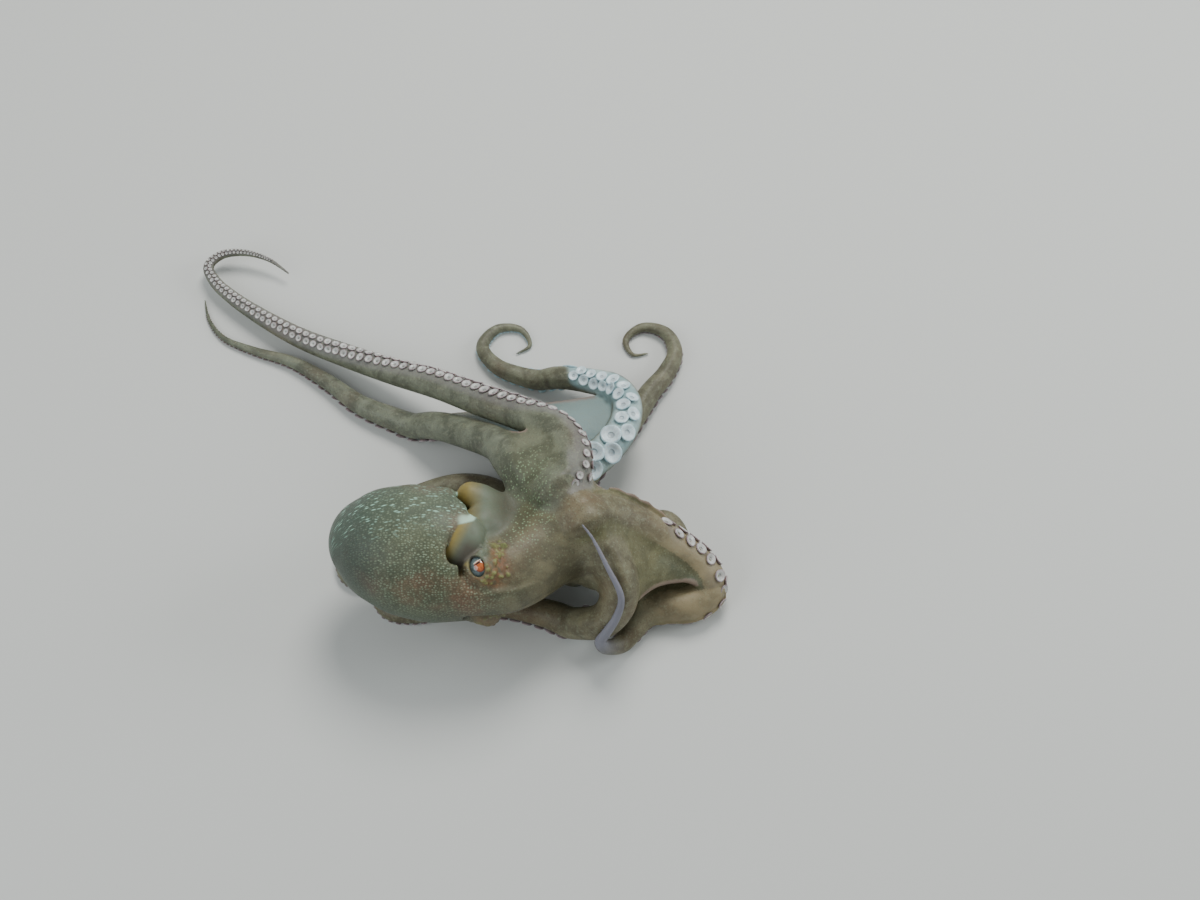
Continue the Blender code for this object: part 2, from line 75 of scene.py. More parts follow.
# arm: ring angle (from dorsal toward left), base radius, route, and which way its
# suckers face along it.  A route point with z = 0 lies on the floor.
ARMS = {
    "arm_L1": (
        22.5, 9.6,
        [(50.5, -27, 46.5), (52.5, -36, 34), (45, -42, 22), (33, -39.5, 13), (18, -32, 0),
         (0, -27, 0), (-18, -25, 0), (-36, -27, 0), (-52, -31, 0), (-65, -29, 0),
         (-71, -19, 0), (-63, -11, 0), (-53, -15, 0), (-55, -22, 0)],
        [(0, "mouth"), (0.06, "under"), (0.3, "under"), (0.4, "down"), (1, "down")]),
    "arm_L2": (
        67.5, 9.6,
        [(44, 1, 57), (55, 1, 48), (68, -1, 38), (82, -4, 27), (93, -9, 18),
         (98, -15, 13), (96, -22, 0), (88, -27, 0), (76, -28, 0), (66, -31, 0),
         (59, -40, 0), (52, -49, 7), (45, -53, 14), (43, -53.5, 22), (46, -52.5, 30),
         (51, -48, 39), (53, -42.5, 49), (46, -31, 60), (39, -20, 68), (34, -15, 73)],
        [(0, "mouth"), (0.07, "hidden"), (0.19, "hidden"), (0.25, "bright"),
         (0.33, "bright"), (0.38, "rim"), (0.42, "lower"), (0.5, "down"), (0.6, "down"),
         (0.66, "left"), (0.72, "below"), (1, "below")]),
    "arm_L3": (
        112.5, 9.8,
        [(29, 14, 66), (30, 30, 64), (22, 47, 57), (4, 62, 47), (-18, 77, 36),
         (-42, 93, 26), (-68, 107, 17), (-96, 121, 11.5), (-122, 134, 9),
         (-145, 149, 7.5), (-162, 162, 7), (-173, 173, 7), (-177.5, 183, 7.6),
         (-171, 190, 8.6), (-158, 191, 9.6), (-144, 187, 8.6), (-132, 179, 6)],
        [(0, "mouth"), (0.07, "edge"), (0.16, "edge"), (0.24, "slope"), (0.42, "slope"),
         (0.6, "tilt"), (1, "tilt")]),
    "arm_L4": (
        157.5, 9.2,
        [(-1, 29, 53), (-9, 47, 41), (-24, 61, 28), (-44, 73, 17), (-66, 83, 0),
         (-86, 93, 0), (-106, 109, 0), (-126, 122, 0), (-148, 130, 0),
         (-166, 139, 0), (-175, 151, 0), (-179, 165, 0)],
        [(0, "mouth"), (0.12, "below"), (0.45, "down"), (1, "down")]),
    "arm_R4": (
        202.5, 9.6,
        [(16, 26, 30), (32, 39, 28.5), (46, 52, 28.5), (55, 66, 28), (57, 81, 26),
         (51, 94, 21), (38, 102, 15), (20, 107, 11), (2, 111, 0), (-14, 119, 0),
         (-22, 132, 0), (-14, 144, 0), (-1, 144, 0), (4, 134, 0), (-3, 129, 0)],
        [(0, "mouth"), (0.15, "high"), (0.45, "high"), (0.6, "right"),
         (0.8, "down"), (1, "down")]),
    "arm_R3": (
        247.5, 9.4,
        [(7, 15, 11), (-2, 28, 0), (-15, 38, 0), (-32, 41, 0), (-52, 36, 0),
         (-71, 28, 0), (-83, 17, 0), (-90, 4, 0), (-88, -9, 0), (-79, -14, 0),
         (-72, -6, 0), (-76, 1, 0)],
        FLAT),
    "arm_R2": (
        292.5, 9.4,
        [(33, 1, 10), (31, 16, 0), (31, 32, 0), (34, 47, 0), (42, 60, 0),
         (53, 73, 0), (62, 87, 0), (70, 101, 0), (79, 114, 0), (84, 128, 0),
         (79, 141, 0), (66, 145, 0), (57, 137, 0), (61, 128, 0), (69, 129, 0)],
        FLAT),
    "arm_R1": (
        337.5, 9.4,
        [(49, -14, 22), (61, -9, 11.6), (74, -1, 0), (82, 10, 0), (77, 21, 0),
         (65, 19, 0), (55, 10, 0), (47, 17, 0), (44, 29, 0), (50, 39, 0),
         (59, 36, 0)],
        FLAT),
}
RING = ["arm_L1", "arm_L2", "arm_L3", "arm_L4", "arm_R4", "arm_R3", "arm_R2", "arm_R1"]
# web: how far out it reaches on each arm, how deep its free edge curves in, and the
# side of the arms that it joins (none: their upper side)
WEBS = {"L1_L2": ((64, 100), 0.22, (-0.1, -0.5, 0.86)), "L2_L3": ((40, 40), 0.3, None),
        "L3_L4": ((74, 74), 0.3, (-0.2, -0.5, 0.85)), "L4_R4": ((116, 116), 0.02, None),
        "R4_R3": ((44, 44), 0.3, None), "R3_R2": ((40, 40), 0.3, None),
        "R2_R1": ((38, 38), 0.3, None), "R1_L1": ((26, 26), 0.3, None)}
L2 = RING.index("arm_L2")
# limbs are numbered: the eight arms round the ring, the web after each of them, the fold
WEB, LOOP = len(RING), 2 * len(RING)
BESIDE_R4 = WEB + RING.index("arm_L4")
# for each limb: how grey it is above, and how pale on the side of the suckers
TONE = [0.1, 0, 0.9, 1, 0.6, 0.4, 0.4, 0.2, 0.1, 0.4, 1, 0.9, 0.5, 0.4, 0.3, 0.2, 0]
PALE = [0.7, 0.15, 0.12, 0.5, 1, 0.9, 0.9, 0.8, 0.4, 0.5, 0.4, 1, 0.9, 0.9, 0.9, 0.7, 0.1]
# axes of the trunk as balls (x, y, z, radius), and ellipsoids (centre, half axes, directions)
MANTLE = [(-67.5, -12.5, 48.5, 23), (-58, -14.9, 48.3, 29.7), (-48.5, -17, 48.1, 32.8),
          (-38.5, -19, 48.3, 33.4), (-29, -20.6, 48.6, 31.5), (-20.5, -22.4, 48.8, 28.4),
          (-13, -24.2, 48.9, 25.2), (-7, -25.6, 49, 22)]
HEAD = [(-30, -25, 49, 14.6), (-22, -27, 48.8, 17.6), (-14, -29, 48.4, 19),
        (-4, -29, 47.6, 19.6), (7, -22, 46, 20), (16, -12, 44.2, 20.8),
        (22, -5, 42.8, 20), (27, 1, 41.4, 16), (30, 4.5, 40.5, 12)]
FUNNEL = [(-6, 0.5, 49.5, 8.8), (-11, 5.6, 51.4, 8.6), (-16, 9, 52.4, 8), (-21, 10.6, 53, 7.5)]
# the funnel's hollow end
BORE = [(-20.5 - 0.75 * i, 10.8 + 0.55 * i, 53 - 0.35 * i, 4.2) for i in range(2, 13)]
# directions of the fold: along its edge, across it, out
SLANT = ((0.45, 0.773, 0.447), (0.893, -0.39, -0.225), (0, -0.5, 0.866))
COLLAR = ((-25.45, -21.9, 69.75), (13.6, 12.6, 9.0), SLANT)  # folded edge of the funnel
NOTCH = ((-21.6, -27.4, 81.2), (13.6, 7.0, 9.0), SLANT)  # dent in the rim that shows it
THROAT = ((-13.5, -7.5, 60.0), (11, 9.5, 8))  # joins the funnel to the head
WALL, HOLLOW = 3.3, 24  # the mantle's wall, and how far it is hollow
# the mantle's axis at the rim, the angle of its back, and its edge: (degrees round, x)
SACK_Y, SACK_Z, BACK = -22.5, 48.8, 13
RIM = [(-180, -19), (-120, -19), (-75, -21), (-50, -23), (-36, -24), (16, -24.8), (39, -24.3),
       (60, -24), (86, -20.6), (97, -20), (109, -21.5), (120, -26.5), (132, -29), (150, -29),
       (166, -24), (180, -19)]
EYE_RADIUS = 6.7
EYES = {"left": (-14, -34.5, 65), "right": (-14, -42.5, 35)}
EYE_AXES = {}  # gaze, across, over
for side, gaze in (("left", (-0.12, -0.42, 0.9)), ("right", (-0.12, -0.72, -0.68))):
    gaze = np.array(gaze) / np.linalg.norm(gaze)
    across = np.array([1.0, 0, 0]) - gaze * gaze[0]
    across /= np.linalg.norm(across)
    EYE_AXES[side] = (gaze, across, np.cross(gaze, across))
LID_SHIFT, LID_SEMI = (-1.0, 0.5), (3.9, 5.5, 6.4)  # the opening between the lids
FOLD = ((60, 91), (152, 123), 6.0)  # the web inside the loop of arm L2
# diameters of suckers by share of the arm's length; "" stands for the other arms
SUCKERS = {
    "arm_L2": [(0, 3), (0.1, 5.4), (0.2, 6.4), (0.44, 6.2), (0.58, 4), (0.66, 2), (0.7, 0.9), (1, 0.4)],
    "arm_L3": [(0, 3), (0.08, 4.6), (0.3, 5.6), (0.5, 4.7), (0.72, 3.2), (0.9, 1.7), (1, 0.5)],
    "arm_R4": [(0, 4), (0.12, 8.5), (0.19, 11.5), (0.28, 11.5), (0.33, 8), (0.45, 6.8), (0.7, 4.2),
               (1, 0.5)],
    "": [(0, 3), (0.12, 6.6), (0.3, 7), (0.6, 4.8), (0.85, 2.2), (1, 0.4)]}


def world(p):
    """Metres in the model's frame, from millimetres in the layout frame."""
    return (np.asarray(p, float) + OFFSET) * 0.001


def unit(v):
    v = np.asarray(v, float)
    return v / np.maximum(np.linalg.norm(v, axis=-1, keepdims=True), 1e-9)


# -------- routes
def between(p, q, lo, hi, t):
    return (p * (hi - t) + q * (t - lo)) / (hi - lo)


def smooth_route(points, per=12):
    """A centripetal curve through the points."""
    pts = np.array(points, float)
    pts = np.vstack([2 * pts[0] - pts[1], pts, 2 * pts[-1] - pts[-2]])
    out = []
    for p0, p1, p2, p3 in zip(pts, pts[1:], pts[2:], pts[3:]):
        t0 = 0.0
        t1 = t0 + np.linalg.norm(p1 - p0) ** 0.5
        t2 = t1 + np.linalg.norm(p2 - p1) ** 0.5
        t3 = t2 + np.linalg.norm(p3 - p2) ** 0.5
        for t in np.linspace(t1, t2, per, endpoint=False):
            a1 = between(p0, p1, t0, t1, t)
            a2 = between(p1, p2, t1, t2, t)
            a3 = between(p2, p3, t2, t3, t)
            b1 = between(a1, a2, t0, t2, t)
            b2 = between(a2, a3, t1, t3, t)
            out.append(between(b1, b2, t1, t2, t))
    out.append(pts[-2])
    return np.array(out)


def run_along(pts):
    """Distance along a route at each of its points."""
    return np.concatenate([[0], np.cumsum(np.linalg.norm(np.diff(pts, axis=0), axis=1))])


def ramp(value, lo, hi):
    """0 at lo, 1 at hi and straight between them."""
    return np.clip((value - lo) / (hi - lo), 0, 1)


def resample(pts, step):
    run = run_along(pts)
    s = np.arange(0, run[-1], step)
    return np.stack([np.interp(s, run, pts[:, k]) for k in range(pts.shape[1])], 1), s, run[-1]


class Arm:
    """An arm's axis at 1 mm steps: place, radius, direction, oral side and cross axis."""

    def __init__(self, name):
        angle, base, route, facing = ARMS[name]
        a = math.radians(angle)
        out = DORSAL * math.cos(a) + LEFT * math.sin(a)
        root = CROWN + out * RING_RADIUS
        first = root + out * 9.0 + MOUTH * 5.4  # outward, then a little forward
        p, s, self.length = resample(smooth_route([root, first] + list(route)), 1.0)
        self.name = name
        u = s / self.length
        us, fs = zip(*TAPERS.get(name, TAPER))
        r = base * np.interp(u, us, fs)
        p[:, 2] = np.maximum(p[:, 2], PRESSED * r)
        z = p[:, 2].copy()
        for i in range(3, len(z) - 3):
            p[i, 2] = p[i - 3:i, 2].sum() / 7 + z[i:i + 4].sum() / 7
        # near the ring the eight arms, 45 degrees apart, keep clear of one another
        off = p - CROWN
        off = np.linalg.norm(off - np.outer(off @ MOUTH, MOUTH), axis=1)
        near = s < 26
        r[near] = np.minimum(r[near], off[near] * math.sin(math.radians(22.5)) - 0.3)
        self.p, self.s, self.u, self.r = p, s, u, r
        self.t = unit(np.gradient(p, axis=0))
        us = [f[0] for f in facing]
        vs = np.array([TOWARD[f[1]] for f in facing], float)
        o = np.stack([np.interp(u, us, vs[:, k]) for k in range(3)], 1)
        self.o = unit(o - (o * self.t).sum(1)[:, None] * self.t)
        self.b = np.cross(self.t, self.o)

    def at(self, s, what="p"):
        v = getattr(self, what)
        if v.ndim == 1:
            return np.interp(s, self.s, v)
        return np.stack([np.interp(s, self.s, v[:, k]) for k in range(3)], -1)


arms = {name: Arm(name) for name in ARMS}


# -------- distance fields
H = 0.58  # size of a cell
LO = np.array([-184.0, -64.0, -2.4])  # the grid's corner
N = np.array([int(v / H) for v in (296.0, 262.0, 88.0)])
FAR = 14.0  # what a field says where nothing is near
# upward and outward as the photo looks at it
VIEW_UP = np.array([0, math.cos(math.radians(30)), math.sin(math.radians(30))])
OUTWARD = np.array([0, -0.5, 0.866])


def offsets(c, a, b):
    """How far the cells a to b lie from a point, along each axis."""
    return [(LO[k] + H * np.arange(a[k], b[k]) - c[k]).astype(np.float32)
            .reshape([-1 if j == k else 1 for j in range(3)]) for k in range(3)]


def length(off):
    return np.sqrt(off[0] ** 2 + off[1] ** 2 + off[2] ** 2)


def dot(off, axis):
    """The part of offsets that lies along an axis."""
    x, y, z = (np.float32(v) for v in axis)
    return off[0] * x + off[1] * y + off[2] * z


class Block:
    """A box of the grid that holds one distance field, and who owns each place."""

    def __init__(self, lo, hi, owned=False):
        self.a = np.clip(np.floor((np.asarray(lo) - LO) / H).astype(int), 0, N - 1)
        self.b = np.clip(np.ceil((np.asarray(hi) - LO) / H).astype(int) + 1, 1, N)
        self.d = np.full(self.b - self.a, FAR, np.float32)
        self.owner = np.full(self.b - self.a, -1, np.int32) if owned else None

    def part(self, centre, margin):
        """Slices of the cells near a point, and their offsets from it."""
        c = np.asarray(centre, float)
        a = np.maximum(self.a, np.floor((c - margin - LO) / H).astype(int))
        b = np.minimum(self.b, np.ceil((c + margin - LO) / H).astype(int) + 1)
        b = np.maximum(a, b)
        cut = tuple(slice(i - k, j - k) for i, j, k in zip(a, b, self.a))
        return cut, offsets(c, a, b)

    def offsets(self, c):
        return offsets(c, self.a, self.b)

    def window(self, other):
        """Slices of this block that the other block covers."""
        return tuple(slice(i - k, j - k) for i, j, k in zip(other.a, other.b, self.a))

    def balls(self, rows, margin, flat=None, factor=0.35, first=0):
        """Union with balls (x, y, z, r), each flattened on the side that flat points to."""
        margin = np.broadcast_to(margin, len(rows))
        for i, (x, y, z, r) in enumerate(rows):
            cut, (dx, dy, dz) = self.part((x, y, z), r + margin[i])
            q = dx * dx + dy * dy + dz * dz
            if flat is not None:
                along = np.maximum(dot((dx, dy, dz), flat[i]), 0)
                q += factor * along * along
            q = np.sqrt(q) - np.float32(r)
            old = self.d[cut]
            closer = q < old
            old[closer] = q[closer]
            if self.owner is not None:
                self.owner[cut][closer] = first + i
        return self

    def sample(self, points):
        """The field at points, FAR outside the block."""
        g = (points - LO) / H - self.a
        i = np.floor(g).astype(int)
        f = (g - i).astype(np.float32)
        ok = np.all((i >= 0) & (i < np.array(self.d.shape) - 1), 1)
        out = np.full(len(points), FAR, np.float32)
        i, f = i[ok], f[ok]
        total = np.zeros(len(i), np.float32)
        for c in np.ndindex(2, 2, 2):
            w = np.prod(np.where(c, f, 1 - f), axis=1)
            total += w * self.d[tuple((i + c).T)]
        out[ok] = total
        return out


def egg(off, semi, axes=None):
    """Signed distance, nearly, to an ellipsoid about the offsets' origin."""
    if axes is not None:
        off = [dot(off, a) for a in axes]
    k = np.sqrt(sum((v / a) ** 2 for v, a in zip(off, semi)))
    return (k - 1) * min(semi)


def smin(a, b, k):
    """Both shapes, k millimetres soft where they join."""
    h = np.clip(0.5 + 0.5 * (b - a) / k, 0, 1)
    return b * (1 - h) + a * h - k * h * (1 - h)


def smax(a, b, k):
    """What both shapes share, with its edges k millimetres soft."""
    return -smin(-a, -b, k)


def dense(rows, step):
    """Balls along a smooth axis through the given ones."""
    pts = smooth_route([r[:3] for r in rows], 16)
    run = run_along(pts)
    s = np.arange(0, run[-1] + step / 2, step)
    out = [np.interp(s, run, pts[:, k]) for k in range(3)]
    out.append(np.interp(s, run[::16], [r[3] for r in rows]))
    return np.stack(out, 1)


def blur(d, sigma):
    """Gaussian blur of a block of the grid."""
    n = int(3 * sigma / H) + 1
    w = np.exp(-0.5 * (np.arange(-n, n + 1) * H / sigma) ** 2).astype(np.float32)
    w /= w.sum()
    for axis in range(3):
        p = np.pad(d, [(n, n) if k == axis else (0, 0) for k in range(3)], "edge")
        d = sum(w[i] * np.take(p, range(i, i + d.shape[axis]), axis) for i in range(2 * n + 1))
    return d


def shares(rows, cols):
    """For a sheet's points: the share of the way across and of the way out."""
    return np.meshgrid(np.linspace(0, 1, cols), np.linspace(0, 1, rows))


def web_sheet(a, b, plan, rows, cols):
    """A ruled sheet between two neighbouring arms: places, directions and arm lengths."""
    reach, depth, side = plan
    s = np.arange(4, 40)
    gap = np.linalg.norm(a.at(s) - b.at(s), axis=1) - a.at(s, "r") - b.at(s, "r")
    start = max(4.0, float(s[np.nonzero(gap > 0.4)[0][0]]) - 3)  # just before they part
    t, v = shares(rows, cols)
    bay = (1 - depth * np.sin(np.pi * t)) * v
    return ruled(*((arm, start + (far - start) * bay) for arm, far in zip((a, b), reach)), t, v, side)


def fold_sheet(a, b, plan, rows, cols):
    """The same sheet where it fills an arm's own loop, sagging back between the two runs."""
    t, v = shares(rows, cols)
    (a0, a1), (b0, b1), sag = plan
    out = ruled((a, a0 + (a1 - a0) * v), (b, b0 + (b1 - b0) * v), t, v, None)
    out[..., :3] += np.array([0, 0.8, -0.2]) * (sag * np.sin(np.pi * t) * (1 - 0.5 * v))[..., None]
    return out


def ruled(end_a, end_b, t, v, side):
    """Points between two arms: place, half thickness, directions, arm length, 1 and v."""
    k = t[..., None]
    edge, out = [], []
    for (arm, s), (other, q) in ((end_a, end_b), (end_b, end_a)):
        p, run, r = arm.at(s), arm.at(s, "t"), arm.at(s, "r")[..., None]
        to = other.at(q) - p
        to = unit(to - (to * run).sum(-1, keepdims=True) * run)
        if side is None:
            up = -0.8 * arm.at(s, "o")
        else:
            up = np.array(side) - (np.array(side) * run).sum(-1, keepdims=True) * run
            to, up = to * 0.45, unit(up)
        edge.append(p + unit(to + up) * r * (0.62 if side is None else 0.84))
        out.append((run, arm.at(s, "o"), s))
    half = 0.75 + 0.6 * np.abs(2 * t - 1) ** 3 + 0.25 * (v > 0.985)
    (ta, oa, sa), (tb, ob, sb) = out
    return np.concatenate([edge[0] + (edge[1] - edge[0]) * k, half[..., None],
                           unit(ta * (1 - k) + tb * k), unit(oa * (1 - k) + ob * k),
                           (sa * (1 - t) + sb * t)[..., None], 1 + 0 * k, v[..., None]], -1)


# the mantle: a sack with an open rim round the neck, fused to the head along the back
def trunk(rows, margin):
    """Balls of the trunk, all on the same box of the grid."""
    return Block((-96, -62, 4), (48, 40, 90)).balls(rows, margin)


mantle = trunk(dense(MANTLE, 1.2), 9)
hollow = trunk(dense([(x, y, z, r - WALL) for x, y, z, r in MANTLE], 1.2), 9)
head = trunk(dense(HEAD, 1.0), 11)
dx, dy, dz = mantle.offsets((0, SACK_Y, SACK_Z))
turn = np.degrees(np.arctan2(dz + 0 * dx, -(dy + 0 * dx))) - BACK  # 0 along the back
turn = (turn + 180) % 360 - 180
rim_at = np.interp(turn, *zip(*RIM)).astype(np.float32)
dx = dx + 0 * turn
nape = ramp(np.abs(turn), 16, 36)  # 0 where fused
shell = smax(mantle.d, -smax(hollow.d, -(dx - rim_at) - HOLLOW, 3), 1.4)
shell = smax(shell, dx - rim_at, 1.6)
crater = egg(mantle.offsets(NOTCH[0]), *NOTCH[1:])
shell = smax(shell, -crater, 1.8)
shell = mantle.d * (1 - nape) + shell * nape
sack = smin(shell, head.d, 9 - 7.6 * nape)
for centre in EYES.values():  # brow round each eye
    cut, off = head.part(centre, 22)
    sack[cut] = smin(sack[cut], egg(off, (9.3, 8.6, 8.6)), 4.0)
funnel = trunk(dense(FUNNEL, 0.8), 7)
bore = trunk(BORE, 4)
lobes = smin(smax(funnel.d, -bore.d, 1.2),
             egg(funnel.offsets(COLLAR[0]), *COLLAR[1:]), 3.5)
lobes = smin(lobes, egg(funnel.offsets(THROAT[0]), THROAT[1]), 8.0)
across = mantle.offsets((-18, 0, 0))[0] + 0 * lobes
sack = smin(sack, lobes, np.clip(0.9 + across * 0.45, 0.9, 4.5))
mantle.d, funnel.d = shell, lobes
del hollow, bore, crater, turn, rim_at, dx, dy, dz, shell, lobes

body = Block(LO, LO + N * H)
near = Block(LO, LO + N * H, owned=True)  # arms and webs
cut = body.window(mantle)
body.d[cut] = sack
del sack

# rows of limb samples: place, radius, direction, oral side, arm length, 1 on a web,
# share of the way out, limb
table = []
for i, name in enumerate(RING):
    a = arms[name]
    table.append(np.column_stack([a.p, a.r, a.t, a.o, a.s, 0 * a.s, a.u, i + 0 * a.s]))


def add_sheet(sheet, name, after, plan, limb):
    """Adds the sheet's samples, close enough together to leave no gap."""
    a, b = arms[name], arms[after]
    gap = 0.7
    p = sheet(a, b, plan, 24, 24)[..., :3]
    rows, cols = (int(24 * np.linalg.norm(np.diff(p, axis=k), axis=-1).max() / gap) + 2 for k in (0, 1))
    w = sheet(a, b, plan, rows, cols).reshape(-1, 13)
    table.append(np.column_stack([w, np.full(len(w), limb)]))


for i, (name, after) in enumerate(zip(RING, RING[1:] + RING[:1])):
    add_sheet(web_sheet, name, after, WEBS[name[4:] + "_" + after[4:]], WEB + i)
add_sheet(fold_sheet, "arm_L2", "arm_L2", FOLD, LOOP)
n_soft = len(table)


def fringe(s0, s1, high, thick, way):
    """A thin fold of skin that stands along arm L2, on the side that way points to."""
    a = arms["arm_L2"]
    s = np.arange(s0, s1, 0.6)
    v = np.linspace(0, 1, max(3, int(high / 0.5)))[:, None]
    p, t, r = a.at(s), unit(a.at(s, "t")), a.at(s, "r")
    d = unit(np.array(way) - (t @ np.array(way))[:, None] * t)
    rise = high * np.sin(np.pi * (s - s0) / (s1 - s0)) ** 0.5 * (1 + 0.12 * np.sin(s * 0.7) * (high > 2))
    far = r * 0.93 + rise * v  # rows by rise, columns by s
    q = p + d * far[..., None]
    one = np.ones(far.shape)[..., None]
    return np.concatenate([q, one * thick, one * t, one * a.at(s, "o"), one * s[:, None], one,
                           0.95 + 0.05 * v[..., None] * one, one * L2], -1).reshape(-1, 14)


table.append(fringe(17, 62, 3.3, 0.6, (0, 0.75, 0.66)))
table.append(fringe(104, 152, 1.2, 0.65, (0.1, -0.93, -0.1)))
start = np.concatenate([[0], np.cumsum([len(t) for t in table])])


def softness(away, web):
    """How far surfaces flow into one another: a lot at the crown, little along the arms."""
    near_crown = ramp(away, 66, 36)
    return (2.4 + 3.6 * near_crown if web else 0.4 + 6.5 * near_crown).astype(np.float32)


def grow(i, lo, hi, sharp=False):
    """Adds the samples lo..hi of limb i to the body."""
    rows, web = table[i][lo:hi], i >= len(ARMS)
    reach = softness(np.linalg.norm(rows[:, :3] - CROWN, axis=1), web)
    block = Block(rows[:, :3].min(0) - 18, rows[:, :3].max(0) + 18, owned=True)
    block.balls(rows[:, :4], 0.8 * reach + 0.9, None if web else rows[:, 7:10], first=start[i] + lo)
    away = length(block.offsets(CROWN))
    cut = body.window(block)
    body.d[cut] = smin(body.d[cut], block.d, 0.35 if sharp else softness(away, web))
    closer = block.d < near.d[cut]
    near.d[cut][closer] = block.d[closer]
    near.owner[cut][closer] = block.owner[closer]


BENT_BACK = 150  # from here on, arm L2 lies on the rest and doesn't flow into it
for i in range(WEB):
    grow(i, 0, BENT_BACK if i == L2 else len(table[i]))
# the crown's lumps flow into one another
cut, off = body.part(CROWN + VIEW_UP * 6, 54)
mix = ramp(length(off), 56, 36) * ramp(dot(off, MOUTH), 28, 16)
mix = mix * ramp(off[0], -34, -22)  # not over the eye
body.d[cut] = body.d[cut] * (1 - mix) + blur(body.d[cut], 4.2) * mix
del mix
for i in range(WEB, len(table)):
    grow(i, 0, len(table[i]), sharp=i >= n_soft)
grow(L2, BENT_BACK - 1, len(table[L2]), sharp=True)
table = np.vstack(table)

# lids: an opening over each eyeball
for side, centre in EYES.items():
    gaze, across, over = EYE_AXES[side]
    c = centre + gaze * 7.5 + across * LID_SHIFT[0] + over * LID_SHIFT[1]
    across, over = unit(across * 0.94 + over * 0.34), unit(over * 0.94 - across * 0.34)
    cut, off = body.part(c, 16)
    body.d[cut] = smax(body.d[cut], -egg(off, LID_SEMI, (across, over, gaze)), 0.7)
    cut, off = body.part(centre, 12)
    body.d[cut] = smax(body.d[cut], EYE_RADIUS - 0.5 - length(off), 0.4)  # the ball's socket


def surface_nets(d):
    """Quads through the cells where the field changes sign."""
    neg = d < 0
    count = np.zeros([n - 1 for n in d.shape], np.uint8)
    for c in np.ndindex(2, 2, 2):
        count += neg[tuple(slice(k, n - 1 + k) for k, n in zip(c, neg.shape))]
    cells = np.argwhere((count > 0) & (count < 8))
    index = np.full(count.shape, -1, np.int32)
    index[tuple(cells.T)] = np.arange(len(cells))
    val = {c: d[tuple((cells + c).T)] for c in np.ndindex(2, 2, 2)}
    total, hits = np.zeros((len(cells), 3)), np.zeros(len(cells))
    for c in np.ndindex(2, 2, 2):
        for k in range(3):
            if c[k] == 0:
                e = tuple(1 if j == k else c[j] for j in range(3))
                cross = (val[c] < 0) != (val[e] < 0)
                p = np.tile(np.array(c, float), (len(cells), 1))
                p[:, k] = np.where(cross, val[c] / np.where(cross, val[c] - val[e], 1), 0)
                total += p * cross[:, None]
                hits += cross
    verts = LO + H * (cells + total / hits[:, None])
    quads = []
    for k in range(3):
        i, j = (k + 1) % 3, (k + 2) % 3
        a = [slice(1, n - 1) for n in d.shape]
        b = list(a)
        a[k], b[k] = slice(0, d.shape[k] - 1), slice(1, d.shape[k])
        lo, hi = neg[tuple(a)], neg[tuple(b)]
        for flip, mask in ((False, lo & ~hi), (True, ~lo & hi)):
            base = np.argwhere(mask)
            ring = []
            for di, dj in ((0, 0), (1, 0), (1, 1), (0, 1)):
                q = base.copy()
                q[:, i] += di
                q[:, j] += dj
                ring.append(index[tuple(q.T)])
            quads.append(np.stack(ring[::-1] if flip else ring, 1))
    return verts, np.vstack(quads)


def keep_largest(verts, quads):
    """Drops loose crumbs: only the one big connected surface stays."""
    label = np.arange(len(verts))
    while True:
        low = label[quads].min(1)
        new = label.copy()
        for k in range(4):
            np.minimum.at(new, quads[:, k], low)
        new = new[new]
        if (new == label).all():
            break
        label = new
    keep = label == np.bincount(label).argmax()
    number = np.cumsum(keep) - 1
    return verts[keep], number[quads[keep[quads[:, 0]]]]


verts, quads = keep_largest(*surface_nets(body.d))
cell = np.clip(np.round((verts - LO) / H).astype(int), 0, N - 1)
owner = near.owner[tuple(cell.T)]
d_limb = near.sample(verts)
d_sack, d_head, d_lobe = (b.sample(verts) for b in (mantle, head, funnel))
del body, near, mantle, head, funnel


def add(name, data):
    """An object in the scene."""
    obj = bpy.data.objects.new(name, data)
    bpy.context.scene.collection.objects.link(obj)
    return obj


def make_mesh(name, verts, faces):
    """A smooth mesh object from layout-frame points and faces of one size."""
    mesh = bpy.data.meshes.new(name)
    faces = np.asarray(faces, np.int32)
    n, k = faces.shape
    mesh.vertices.add(len(verts))
    mesh.vertices.foreach_set("co", world(verts).astype(np.float32).ravel())
    mesh.loops.add(n * k)
    mesh.loops.foreach_set("vertex_index", faces.ravel())
    mesh.polygons.add(n)
    mesh.polygons.foreach_set("loop_start", np.arange(n, dtype=np.int32) * k)
    mesh.polygons.foreach_set("loop_total", np.full(n, k, np.int32))
    mesh.update(calc_edges=True)
    mesh.polygons.foreach_set("use_smooth", np.ones(n, bool))
    return add(name, mesh)


def add_up(index, rows, count):
    """Sums the rows that go to the same index."""
    return np.stack([np.bincount(index, column, count) for column in rows.T], 1)


def vertex_normals(verts, quads):
    a, b, c, d = (verts[quads[:, k]] for k in range(4))
    across = np.cross(c - a, d - b)
    return unit(sum(add_up(quads[:, k], across, len(verts)) for k in range(4)))


def relax(values, quads, rounds, weight):
    """Evens values out among neighbours: places for the grid's steps, marks for soft edges."""
    count = sum(np.bincount(quads[:, k], minlength=len(values)) for k in range(4)) * 2.0
    for _ in range(rounds):
        total = sum(add_up(quads[:, k], values[quads[:, (k + step) % 4]], len(values))
                    for k in range(4) for step in (1, 3))
        values = values + (total / count[:, None] - values) * weight
    return values


verts = relax(verts, quads, 2, 0.5)
verts[:, 2] = np.maximum(verts[:, 2], 0.0)
normals = vertex_normals(verts, quads)


